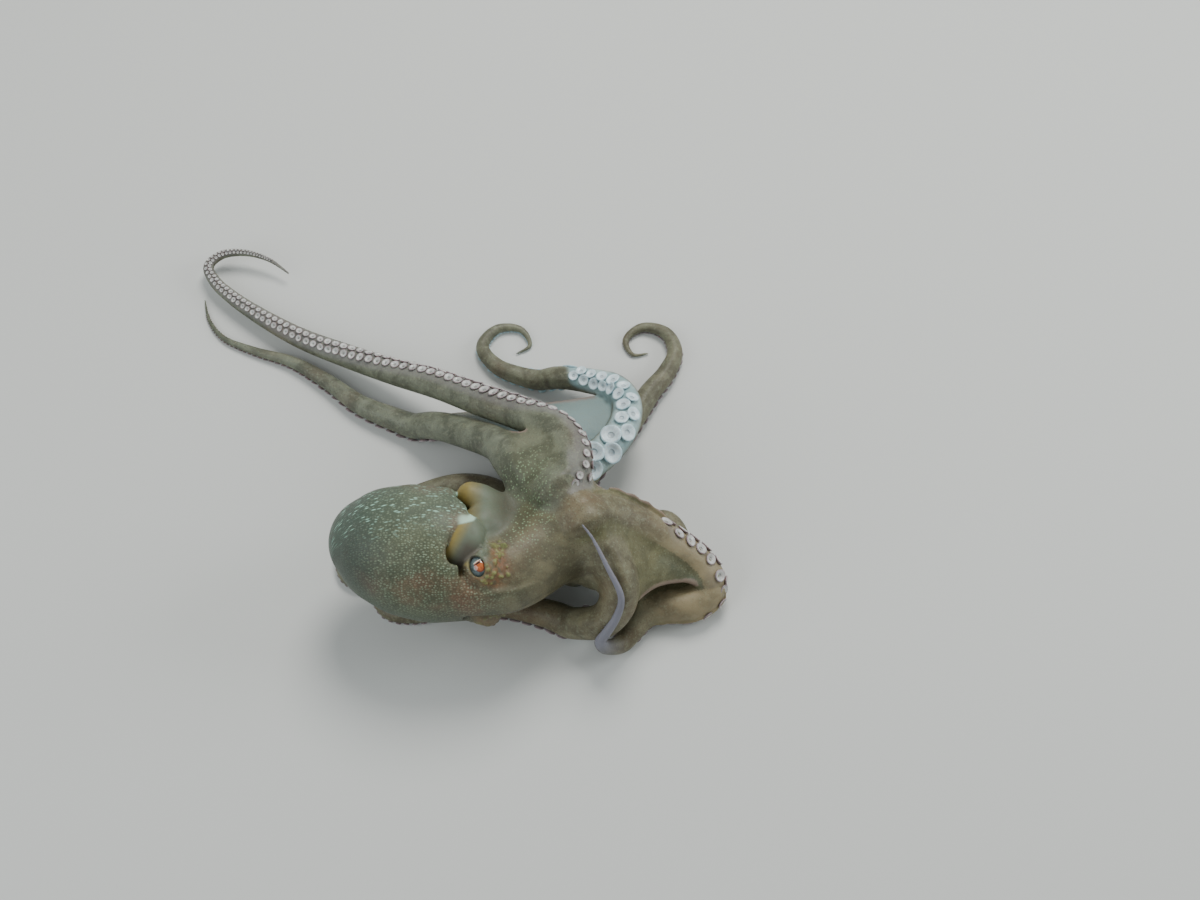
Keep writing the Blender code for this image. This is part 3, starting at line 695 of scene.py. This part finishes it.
def raised(verts, normals, spots):
    """Pushes out small knobs, each given as its place, half width and height."""
    out = verts.copy()
    for place, wide, high in spots:
        d2 = ((verts - place) ** 2).sum(1)
        near = d2 < (2.6 * wide) ** 2
        out[near] += normals[near] * (high * np.exp(-d2[near] / wide ** 2))[:, None]
    return out


# knobs in patches beside each eye: from and to across, from and to over, how many
KNOBS = ((2, 11, 4.5, 13, 26), (1.5, 6, -8.5, -4, 7), (3.5, 13, -5, 5, 12), (-3, 3, 6.5, 10, 5))
knobs, dice = [], np.random.default_rng(3)
for side, (gaze, across, over) in EYE_AXES.items():
    rel = verts - EYES[side]
    u, v, w = rel @ across, rel @ over, rel @ gaze
    tall = 1 if side == "left" else 0.4
    for lo_u, hi_u, lo_v, hi_v, count in KNOBS:
        for _ in range(count):
            pu, pv = dice.uniform(lo_u, hi_u), dice.uniform(lo_v, hi_v)
            score = (u - pu) ** 2 + (v - pv) ** 2 + 30 * (w < -6) - 0.02 * w
            knobs.append((verts[score.argmin()], dice.uniform(0.7, 1.2), tall * dice.uniform(0.7, 1.4)))
knobby = np.max([high * np.exp(-((verts - place) ** 2).sum(1) / wide ** 2)
                 for place, wide, high in knobs], 0)
verts = raised(verts, normals, knobs)
normals = vertex_normals(verts, quads)


# -------- what each place is
def weights(*fields, soft=0.9):
    """How much each place belongs to each field: the nearest takes most."""
    w = np.exp(-(np.stack(fields) - np.min(fields, 0)) / soft)
    return w / w.sum(0)


def store(mesh, name, *columns):
    """Keeps one number or three for every vertex, for the materials."""
    kind = "FLOAT" if len(columns) == 1 else "FLOAT_VECTOR"
    layer = mesh.attributes.new(name, kind, "POINT")
    data = np.ascontiguousarray(np.stack(columns, 1), np.float32).ravel()
    layer.data.foreach_set("value" if len(columns) == 1 else "vector", data)


has = owner >= 0
row = table[np.where(has, owner, 0)]
along = ((verts - row[:, :3]) * row[:, 4:7]).sum(1).clip(-1.5, 1.5) * has
kind = row[:, 13].astype(int)
row[kind == BESIDE_R4, 7:10] = OUTWARD  # the web beside arm R4 lies open
oral = (normals * row[:, 7:10]).sum(1)
limb_s = row[:, 10] + along
is_web = row[:, 11] * has
pale = np.clip(oral, 0, 1) * np.array(PALE)[kind] * has * ramp(verts[:, 2], 54, 46)
tone = np.array(TONE, float)[kind] * has + 0.2 * ~has
w_sack, w_head, w_lobe = weights(d_sack, d_head, d_lobe, d_limb)[:3]
sharp = 1 / (1 + np.exp((d_lobe - d_sack + 0.35) / 0.15))  # the mantle's edge is crisp
w_sack, w_lobe = (w_sack + w_lobe) * (1 - sharp), (w_sack + w_lobe) * sharp
cx, cy, cz = verts[:, 0], verts[:, 1] - SACK_Y, verts[:, 2] - SACK_Z
phi = np.arctan2(cz, -cy) - math.radians(BACK)
phi = (phi + math.pi) % (2 * math.pi) - math.pi
rim_x = np.interp(np.degrees(phi), *zip(*RIM))
lip = ramp(np.abs(cx - rim_x), 4, 0) * (w_sack > 0.5)
dotted = np.exp(-(((verts - (6, 4, 62)) / (15, 26, 26)) ** 2).sum(1))
is_web, pale, tone = relax(np.stack([is_web, pale, tone], 1), quads, 10, 0.9).T
# the funnel and its fold: ochre rims, a painted highlight on the fold's lit edge, and painted shade on
# its hollow side
part = (verts - COLLAR[0]) @ np.array(SLANT).T / np.array(COLLAR[1])
on_fold = ramp(np.linalg.norm(part, axis=1), 1.25, 1.1)
off_fold = 1 - on_fold
up, side = part[:, 0], part[:, 1]
# white here is a painted highlight: pale where the fold's edge catches the light
white = on_fold * ramp(up - 0.75 * (side + 0.39), 0.36, 0.44) * ramp(side, 0.28, 0.2)
ochre = on_fold * ramp(side, 0.28, -0.12) + off_fold * ramp(cx, -14, -23)
ochre = np.clip(ochre - white, 0, 1)
# painted shade: darker on the fold's hollow side and on the funnel where it joins the head
painted_shade = on_fold * ramp(side, 0.1, 0.45) * ramp(up, 0.35, -0.05) + 0.6 * off_fold * ramp(cx, -12, -4)
# arm L2 is warmer round the outside of its loop
on_l2 = (kind == L2) * has
warm = on_l2 * ramp(limb_s, 45, 70) * ramp(limb_s, 150, 125)
tip = on_l2 * ramp(limb_s, 170, 190)


# -------- suckers
FIRST, LAST, LEAST = 14.0, 0.965, 0.35  # first place, last share of the arm, least width
# profile of a cup: (radius, height, zone); zone 0 stalk, 1 rim, 2 funnel, 3 inner chamber
CUP = [(0.6, -0.75, 0), (0.58, -0.25, 0), (0.62, 0.05, 0.1), (0.76, 0.3, 0.35),
       (0.93, 0.47, 0.7), (1, 0.6, 0.95), (1, 0.71, 1), (0.94, 0.79, 1),
       (0.84, 0.8, 1.1), (0.72, 0.73, 1.5), (0.56, 0.62, 1.9), (0.42, 0.53, 2.2),
       (0.36, 0.49, 2.4), (0.32, 0.38, 2.7), (0.34, 0.2, 3), (0.22, 0.05, 3),
       (0.02, 0, 3)]


def band(first, n):
    """Quads between a ring of n points and the next ring."""
    i, j = first + np.arange(n), first + (np.arange(n) + 1) % n
    return np.stack([i, j, j + n, i + n], 1)


def suckers_of(name, a, rng):
    """Two alternating rows of cups along an arm, as one mesh."""
    pts, faces, zones = [], [], []
    plan = list(zip(*SUCKERS.get(name, SUCKERS[""])))
    s, side = FIRST, 1
    while s < a.length * LAST:
        size = float(np.interp(s / a.length, *plan))
        if size < LEAST:
            break
        p, t, o, b, r = (a.at(s, k) for k in "ptobr")
        t, o, b = unit(t), unit(o), unit(b)
        # where an arm lies on the floor its cups turn further out to the sides
        lying = ramp(-o[2], 0.3, 0.8) * np.clip((1.9 * r + 3 - p[2]) / 3, 0, 1)
        way = unit(o + b * (0.38 + 0.75 * lying) * side)
        base = p + way * r * (0.80 + 0.10 * lying)
        way = unit(way + t * rng.normal(0, 0.08) + b * rng.normal(0, 0.06))
        ax = unit(t - way * (t @ way))
        ay = np.cross(way, ax)
        half = size * 0.5 * (1 + rng.normal(0, 0.03))
        tall = half * 0.62 + 0.25
        n = 32 if size > 7 else 24 if size > 4 else 16 if size > 2 else 10
        ang = np.arange(n) * 2 * math.pi / n
        first = sum(len(q) for q in pts)
        oval = 1 + 0.05 * rng.normal()
        for k, (rr, hh, zone) in enumerate(CUP):
            if zone > 2:  # opened wide, and so shallow
                hh = 0.3 + 0.38 * hh
            wave = 1 + (0.018 * np.sin(ang * 3 + s) + 0.012 * np.sin(ang * 7 + 2 * s)) * (rr > 0.7)
            groove = 0.035 * np.cos(ang * (n // 2)) * half * (1.4 < zone < 2.3)
            pts.append(base + np.outer(np.cos(ang) * rr * half * oval * wave, ax)
                       + np.outer(np.sin(ang) * rr * half / oval * wave, ay)
                       + np.outer(hh * tall + groove + 0 * ang, way))
            zones.append(np.full(n, zone))
            if k:
                faces.append(band(first + (k - 1) * n, n))
        s += 0.56 * size + 0.15
        side = -side
    pts = np.vstack(pts)
    gap = 0.15  # cups stay above the floor
    low = pts[:, 2] < gap
    pts[low, 2] = gap * np.exp(np.clip((pts[low, 2] - gap) / 3, -3, 0))
    obj = make_mesh("suckers_" + name[4:], pts, np.vstack(faces))
    store(obj.data, "zone", np.concatenate(zones))
    return obj


rng = np.random.default_rng(8)
cups = {name: suckers_of(name, a, rng) for name, a in arms.items()}
for name, obj in cups.items():
    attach(obj, "root")


# -------- eyes and skin
def globe(name, centre, gaze, across, over, radius):
    """An eyeball turned about its gaze, with a low cornea."""
    rings, n = 40, 64
    lat = np.linspace(0.0, math.pi * 0.72, rings)
    ang = np.arange(n) * 2 * math.pi / n
    pts, faces, a, b = [], [], [], []
    for k, th in enumerate(lat):
        bulge = 1 + 0.05 * math.exp(-(th / 0.55) ** 2)
        rr = max(math.sin(th), 0.003)
        pts.append(centre + radius * bulge * (
            np.outer(np.cos(ang) * rr, across) + np.outer(np.sin(ang) * rr, over)
            + np.outer(np.full(n, math.cos(th)), gaze)))
        a.append(np.cos(ang) * th)
        b.append(np.sin(ang) * th)
        if k:
            faces.append(band((k - 1) * n, n)[:, ::-1])
    obj = make_mesh(name, np.vstack(pts), np.vstack(faces))
    store(obj.data, "look", np.concatenate(a), np.concatenate(b), np.zeros(rings * n))
    return obj


eyes = {}
for side, centre in EYES.items():
    eyes[side] = globe("eyeball_" + side, centre, *EYE_AXES[side], EYE_RADIUS)
    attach(eyes[side], "root")
    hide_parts("eye_" + side)

skin = make_mesh("skin", verts, quads)
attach(skin, "root")
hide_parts(*[n for n in frame["nodes"] if not n.startswith("eye")])
eye_far = np.min([np.linalg.norm(verts - c, axis=1) + 6 * (side == "right")
                  for side, c in EYES.items()], axis=0)
for name, columns in (("zone", (w_sack, w_head, w_lobe)), ("limb", (tone, pale, is_web)),
                      ("sack", (cx, phi * 30, lip)), ("spot", (eye_far, tip, row[:, 12] * is_web)),
                      ("more", (oral, dotted, warm)), ("fold", (ochre, painted_shade, white)),
                      ("knob", (knobby,))):
    store(skin.data, name, *columns)


# -------- materials
GREENER = (0.92, 1.025, 0.98)  # a shade that all skin takes


def rgb(r, g, b):
    """Linear colour from the usual 0-255 numbers."""
    return tuple((v / 255 / 12.92 if v <= 10 else ((v / 255 + 0.055) / 1.055) ** 2.4)
                 for v in (r, g, b))


def tint(colour):
    """A skin colour: its 0-255 numbers made greener, or one that is mixed already."""
    return colour if isinstance(colour, Value) else rgb(*(v * k for v, k in zip(colour, GREENER)))


def distance(x, y):
    return (x.power(2) + y.power(2)).power(0.5)


class Value:
    """A node's output that can be added, scaled and shaped in plain arithmetic."""

    def __init__(self, socket):
        self.socket = socket

    def _into(self, kind, setting, choice, *others):
        """The value, and others after it, put into a new node."""
        node = self.socket.id_data.nodes.new("ShaderNode" + kind)
        setattr(node, setting, choice)
        for socket, value in zip(node.inputs, (self,) + others):
            put(socket, value)
        return Value(node.outputs[0])

    def _math(self, op, *others):
        return self._into("Math", "operation", op, *others)

    def __add__(self, v):
        return self._math("ADD", v)

    def __sub__(self, v):
        return self._math("SUBTRACT", v)

    def __mul__(self, v):
        return self._math("MULTIPLY", v)

    def __rsub__(self, v):
        return self * -1 + v

    def power(self, v):
        return self._math("POWER", v)

    def abs(self):
        return self._math("ABSOLUTE")

    def step(self, lo, hi, a=0, b=1):
        """Goes smoothly from a to b as the value goes from lo to hi."""
        return self._into("MapRange", "interpolation_type", "SMOOTHSTEP", lo, hi, a, b)


def put(socket, value):
    """Gives a socket its value: another node's output, a colour or a number."""
    if isinstance(value, Value):
        socket.id_data.links.new(value.socket, socket)
    elif isinstance(value, tuple) and len(value) == 3 and socket.type == "RGBA":
        socket.default_value = (*value, 1)
    else:
        socket.default_value = value


class Look:
    """A material under construction."""

    def __init__(self, name):
        self.mat = bpy.data.materials.new(name)
        self.mat.use_nodes = True
        self.tree = self.mat.node_tree
        self.shader = self.tree.nodes["Principled BSDF"]
        self.here = self.new("TexCoord", "Object")

    def new(self, kind, output, **inputs):
        """A node with its inputs or settings, by name."""
        node = self.tree.nodes.new("ShaderNode" + kind)
        for key, value in inputs.items():
            if key in node.inputs:
                put(node.inputs[key], value)
            else:
                setattr(node, key, value)
        return Value(node.outputs[output])

    def number(self, name, output="Fac"):
        """The number kept under a name on the mesh."""
        return self.new("Attribute", output, attribute_name=name)

    def parts_of(self, name):
        """The three numbers kept under a name on the mesh."""
        node = self.tree.nodes.new("ShaderNodeSeparateXYZ")
        put(node.inputs[0], self.number(name, "Vector"))
        return [Value(o) for o in node.outputs]

    def place(self, x, y):
        return self.new("CombineXYZ", "Vector", X=x, Y=y)

    def noise(self, scale, detail, warp=0):
        """Cloudy noise, with scale in lumps per metre."""
        return self.new("TexNoise", "Fac", Vector=self.here, Scale=scale,
                        Detail=detail, Roughness=0.55, Distortion=warp)

    def cells(self, scale, at=None, feature="F1", random=1):
        """Distance to the middle or, with DISTANCE_TO_EDGE, to the edge of scattered cells."""
        return self.new("TexVoronoi", "Distance", feature=feature,
                        Vector=at or self.here, Scale=scale, Randomness=random)

    def mix(self, fac, a, b):
        return self.new("Mix", "Result", data_type="RGBA", Factor=fac, A=a, B=b)

    def paint(self, colour, *coats):
        """Lays skin colours over one another; each coat is how much of it and its colour."""
        for much, coat in coats:
            colour = self.mix(much, tint(colour), tint(coat))
        return colour

    def bump(self, height, depth, strength):
        return self.new("Bump", "Normal", Height=height, Distance=depth,
                        Strength=strength)

    def finish(self, colour, rough, normal, **sockets):
        for key, value in dict(Base_Color=colour, Roughness=rough, Normal=normal, **sockets).items():
            put(self.shader.inputs[key.replace("_", " ")], value)
        return self.mat


def skin_look():
    k = Look("octopus_skin")
    sack, brow, lobe = k.parts_of("zone")
    tone, pale, web = k.parts_of("limb")
    ax, around, lip = k.parts_of("sack")
    eye, tip, edge = k.parts_of("spot")
    oral, dotted, warm = k.parts_of("more")
    ochre, painted_shade, white = k.parts_of("fold")
    knob = k.number("knob")
    broad = k.noise(26, 4)
    mottle = k.noise(90, 5, warp=0.6)
    fine = k.noise(420, 4)
    grain = k.noise(1500, 3)
    dots = k.cells(950).step(0.08, 0.42, 1, 0)  # dark pigment points
    flecks = k.cells(620, random=0.9).step(0.1, 0.42, 1, 0)

    specks = flecks * fine.step(0.35, 0.55)
    blotch = mottle.step(0.36, 0.66)

    # arms: warm brown near the head, greyer far out, pale where the suckers are
    grey = k.paint(
        (92, 86, 76), (blotch, (126, 118, 106)),
        (broad.step(0.5, 0.72) * 0.4, (116, 88, 76)))
    under = k.paint((156, 166, 176), (mottle.step(0.4, 0.65), (196, 196, 204)))
    arm = k.paint(
        (100, 84, 68), (blotch, (128, 110, 90)),
        (broad.step(0.45, 0.7) * 0.4, (130, 94, 72)),
        (tone, grey),
        (fine.step(0.5, 0.72) * 0.35, (156, 144, 126)),
        (dots * 0.4, (60, 46, 38)),
        (oral.step(0.35, 0.8) * 0.45, (140, 122, 130)),
        (pale.step(0.08, 0.75), under))
    # webs: olive brown, with fine pale and dark points
    bluish = k.paint((112, 126, 136), (broad.step(0.4, 0.6), (144, 150, 156)))
    film = k.paint(
        (96, 84, 60), (mottle.step(0.35, 0.7), (126, 110, 82)),
        (broad.step(0.48, 0.68) * 0.4, (122, 88, 68)),
        (tone * 0.7, grey),
        (dots * 0.3, (62, 50, 38)),
        (pale.step(0.05, 0.7), bluish))
    # the thin end of arm L2 is plum, paler at its edges
    plum = k.paint((82, 70, 80), (oral.abs().step(0, 0.4), (134, 120, 136)))
    limb = k.paint(
        arm, (web, film),
        (warm * mottle.step(0.3, 0.6, 0.45, 0.8), (162, 132, 106)),
        (specks * 0.28, (158, 148, 126)),
        (edge.step(0.95, 1) * 0.7, (152, 116, 112)),
        (tip, plum))

    # mantle: olive grey, with rows of pale streaks along the top, partly its pattern and partly a
    # painted highlight where the light falls on the top, and of dots elsewhere
    wob = k.noise(45, 2)
    rows = k.place(ax * 0.24 + wob * 2, around * 0.8 + wob * 2)
    dash = k.cells(1, at=rows, random=0.85).step(0.1, 0.36, 1, 0)
    net = k.place(ax * 0.66 + wob * 3, around * 0.84 + wob * 2.4)
    spot = k.cells(1, at=net, random=0.6).step(0.14, 0.48, 1, 0)
    mesh = k.cells(1, at=net, feature="DISTANCE_TO_EDGE", random=0.7).step(0.02, 0.2, 1, 0)
    # the top of the mantle: its pale streaks are partly skin pattern and partly painted highlight
    lit_top = around.step(30, 54)
    plain_end = ax.step(-80, -56, 0.25, 1) * around.step(-20, 6, 0.2, 1)
    belly = around.abs().step(86, 94)
    # a painted highlight: a broken pale line along the top of the rim, where its edge catches the light
    rim_glint = lip.step(0.7, 1) * around.step(30, 40) * fine.step(0.35, 0.5)
    coat = k.paint(
        (98, 94, 76), (mottle.step(0.35, 0.68), (124, 117, 96)),
        (broad.step(0.44, 0.62) * 0.85, (146, 100, 82)),
        (ax.step(-78, -48, 0.85, 0), (70, 78, 76)),
        (around.step(-16, 8, 0.75, 0), (92, 94, 84)),
        (mesh * 0.5, (58, 54, 42)),
        (spot * plain_end * fine.step(0.3, 0.55, 0.35, 0.75), (152, 152, 132)),
        (lit_top * 0.4, (90, 98, 90)),
        (dash * lit_top * 0.95, (192, 216, 204)),
        (belly * 0.6, (136, 136, 126)),
        (rim_glint * 0.5, (172, 186, 172)))

    # head: brown, ochre and orange about the eye
    face = k.paint(
        (96, 82, 66), (blotch, (124, 106, 86)),
        (broad.step(0.5, 0.7) * 0.4, (120, 84, 64)),
        (dots * 0.35, (58, 44, 36)),
        (specks * 0.3, (150, 142, 116)),
        (eye.step(8, 17, 1, 0) * fine.step(0.3, 0.6) * 0.55, (164, 92, 60)),
        (eye.step(7, 10, 1, 0) * 0.45, (112, 108, 72)),
        # painted shade: darker round the lids' opening, in the crevice about the eye
        (eye.step(6.6, 9, 1, 0) * 0.7, (82, 78, 66)),
        (knob.step(0.1, 0.8) * 0.6, (146, 142, 88)))
    # funnel and its fold: smooth, ochre rims, grey-green middle, painted shade on the hollow side and
    # near the head, and a painted highlight on the fold's lit edge
    fold = k.paint(
        (106, 104, 90), (broad.step(0.35, 0.65), (120, 116, 104)),
        (ochre * 0.9, (158, 124, 66)),
        # painted shade on the hollow side and near the head
        (painted_shade * 0.75, (92, 72, 68)),
        (fine.step(0.45, 0.7) * 0.2, (104, 84, 76)),
        # painted highlight on the fold's lit edge
        (white * 0.9, (206, 218, 204)))

    crown_dots = dotted.step(0.1, 0.6) * flecks * 0.8 * fine.step(0.3, 0.5)
    colour = k.paint(
        limb, (brow, face),
        (dotted * 0.5, (84, 80, 58)),
        (crown_dots, (150, 158, 128)),
        (lobe, fold),
        (sack, coat))
    plain = 1 - lobe
    height = (fine * 0.5 + grain * 0.25 + dots * -0.15) * plain
    height = height + spot * sack * 0.5 + dash * lit_top * sack * 0.6
    normal = k.bump(height + flecks * dotted * 0.5, 0.0004, 0.9)
    rough = grain.step(0.3, 0.7, 0.42, 0.62)
    return k.finish(colour, rough, normal, Subsurface_Weight=0.1, Subsurface_Scale=0.003,
                    Subsurface_Radius=(1, 0.5, 0.35), Specular_IOR_Level=0.35,
                    Coat_Weight=0.06, Coat_Roughness=0.3)


def cup_look(name, stalk, rim, cup):
    k = Look(name)
    zone = k.number("zone")
    cloud = k.noise(300, 3)
    fine = k.noise(1600, 3)
    # painted shade: the cup's inner chamber is a darker copy of the cup's colour
    shaded_inner = rgb(*[c * 0.82 for c in cup])
    stalk, rim, cup = (k.mix(cloud.step(0.35, 0.65), rgb(*v), rgb(*[c + 24 for c in v]))
                       for v in (stalk, rim, cup))
    colour = k.mix(zone.step(0.15, 0.75), stalk, rim)
    colour = k.mix(zone.step(1, 1.3), colour, cup)
    colour = k.mix(zone.step(2.3, 2.9) * 0.7, colour, shaded_inner)
    normal = k.bump(fine * 0.6 + cloud * 0.4, 0.0003, 0.6)
    return k.finish(colour, fine.step(0.3, 0.7, 0.28, 0.45), normal, Subsurface_Weight=0.2,
                    Subsurface_Scale=0.003, Subsurface_Radius=(1, 0.7, 0.6), Coat_Weight=0.3,
                    Coat_Roughness=0.2)


def eye_look():
    k = Look("eye_gloss")
    x, y, _ = k.parts_of("look")
    # the iris sits off the middle of the opening, wider than high and slanted
    px, py = x - 0.06, y - 0.12
    across, over = px * 0.92 + py * 0.39, py * 0.92 - px * 0.39
    far = distance(across * 1.15, over * 0.95)
    fibre = k.noise(900, 3)
    iris = k.mix(fibre.step(0.35, 0.65), rgb(172, 84, 36), rgb(204, 112, 52))
    iris = k.mix(far.step(0.26, 0.4), iris, rgb(140, 58, 24))
    white = k.mix(k.noise(400, 3).step(0.4, 0.6), rgb(70, 84, 88), rgb(96, 110, 112))
    colour = k.mix(far.step(0.4, 0.46), iris, white)
    line = over - 0.22 - across * 0.25
    slit = distance(line, across * 0.22)
    colour = k.mix(slit.step(0.05, 0.075, 1, 0), colour, rgb(14, 12, 12))
    # a painted highlight: a pale arc above the pupil, where the upper lid's edge catches the light
    lid_glint = (line - 0.16).abs().step(0.03, 0.06, 1, 0) * across.abs().step(0.3, 0.42, 1, 0)
    colour = k.mix(lid_glint, colour, rgb(226, 224, 206))
    normal = k.bump(fibre, 0.0001, 0.3)
    return k.finish(colour, fibre.step(0.3, 0.7, 0.06, 0.12), normal, Coat_Weight=1, Coat_Roughness=0.03)


skin.data.materials.append(skin_look())
lilac = cup_look("sucker_skin", (100, 88, 82), (128, 114, 118), (182, 182, 178))
white = cup_look("sucker_white", (150, 172, 180), (178, 204, 212), (206, 222, 228))
for name, obj in cups.items():
    obj.data.materials.append(white if name == "arm_R4" else lilac)
gloss = eye_look()
for obj in eyes.values():
    obj.data.materials.append(gloss)

# -------- studio
floor_mesh = bpy.data.meshes.new("floor")
floor_mesh.from_pydata([(-3, -3, 0), (3, -3, 0), (3, 3, 0), (-3, 3, 0)], [], [(0, 1, 2, 3)])
floor = add("floor", floor_mesh)
floor.location.z = -0.0004
plaster = bpy.data.materials.new("floor")
plaster.use_nodes = True
plaster_look = plaster.node_tree.nodes["Principled BSDF"].inputs
plaster_look["Base Color"].default_value = (0.62, 0.63, 0.61, 1)
plaster_look["Roughness"].default_value = 0.8
floor_mesh.materials.append(plaster)


def area(name, place, size, power, colour):
    """A round soft light aimed at the animal."""
    light = bpy.data.lights.new(name, "AREA")
    light.shape = "DISK"
    light.size, light.energy, light.color = size, power, colour
    obj = add(name, light)
    obj.location = place
    aim = Vector((0.0, 0.0, 0.03)) - Vector(place)
    obj.rotation_euler = aim.to_track_quat("-Z", "Y").to_euler()


area("key", (0.25, 0.75, 1.25), 0.7, 16, (1.0, 0.99, 0.95))
area("fill", (-1.0, -0.6, 0.9), 1.2, 9, (0.93, 0.98, 1.0))
area("rim", (1.1, 0.1, 0.6), 0.6, 5, (0.95, 1.0, 1.0))
sky = bpy.data.worlds.new("sky")
sky.use_nodes = True
sky_look = sky.node_tree.nodes["Background"].inputs
sky_look["Color"].default_value = (0.80, 0.84, 0.85, 1)
sky_look["Strength"].default_value = 0.45
bpy.context.scene.world = sky

# the camera looks down at 60 degrees, from one metre
tilt = math.radians(60)
target = world((42.8, 68.0, 0.0))
cam = bpy.data.cameras.new("camera")
cam.lens, cam.sensor_width, cam.clip_start = 56.0, 36.0, 0.05
camera = add("camera", cam)
camera.location = target - np.array([0, math.cos(tilt), -math.sin(tilt)])
camera.rotation_euler = (math.pi / 2 - tilt, 0, 0)
bpy.context.scene.camera = camera
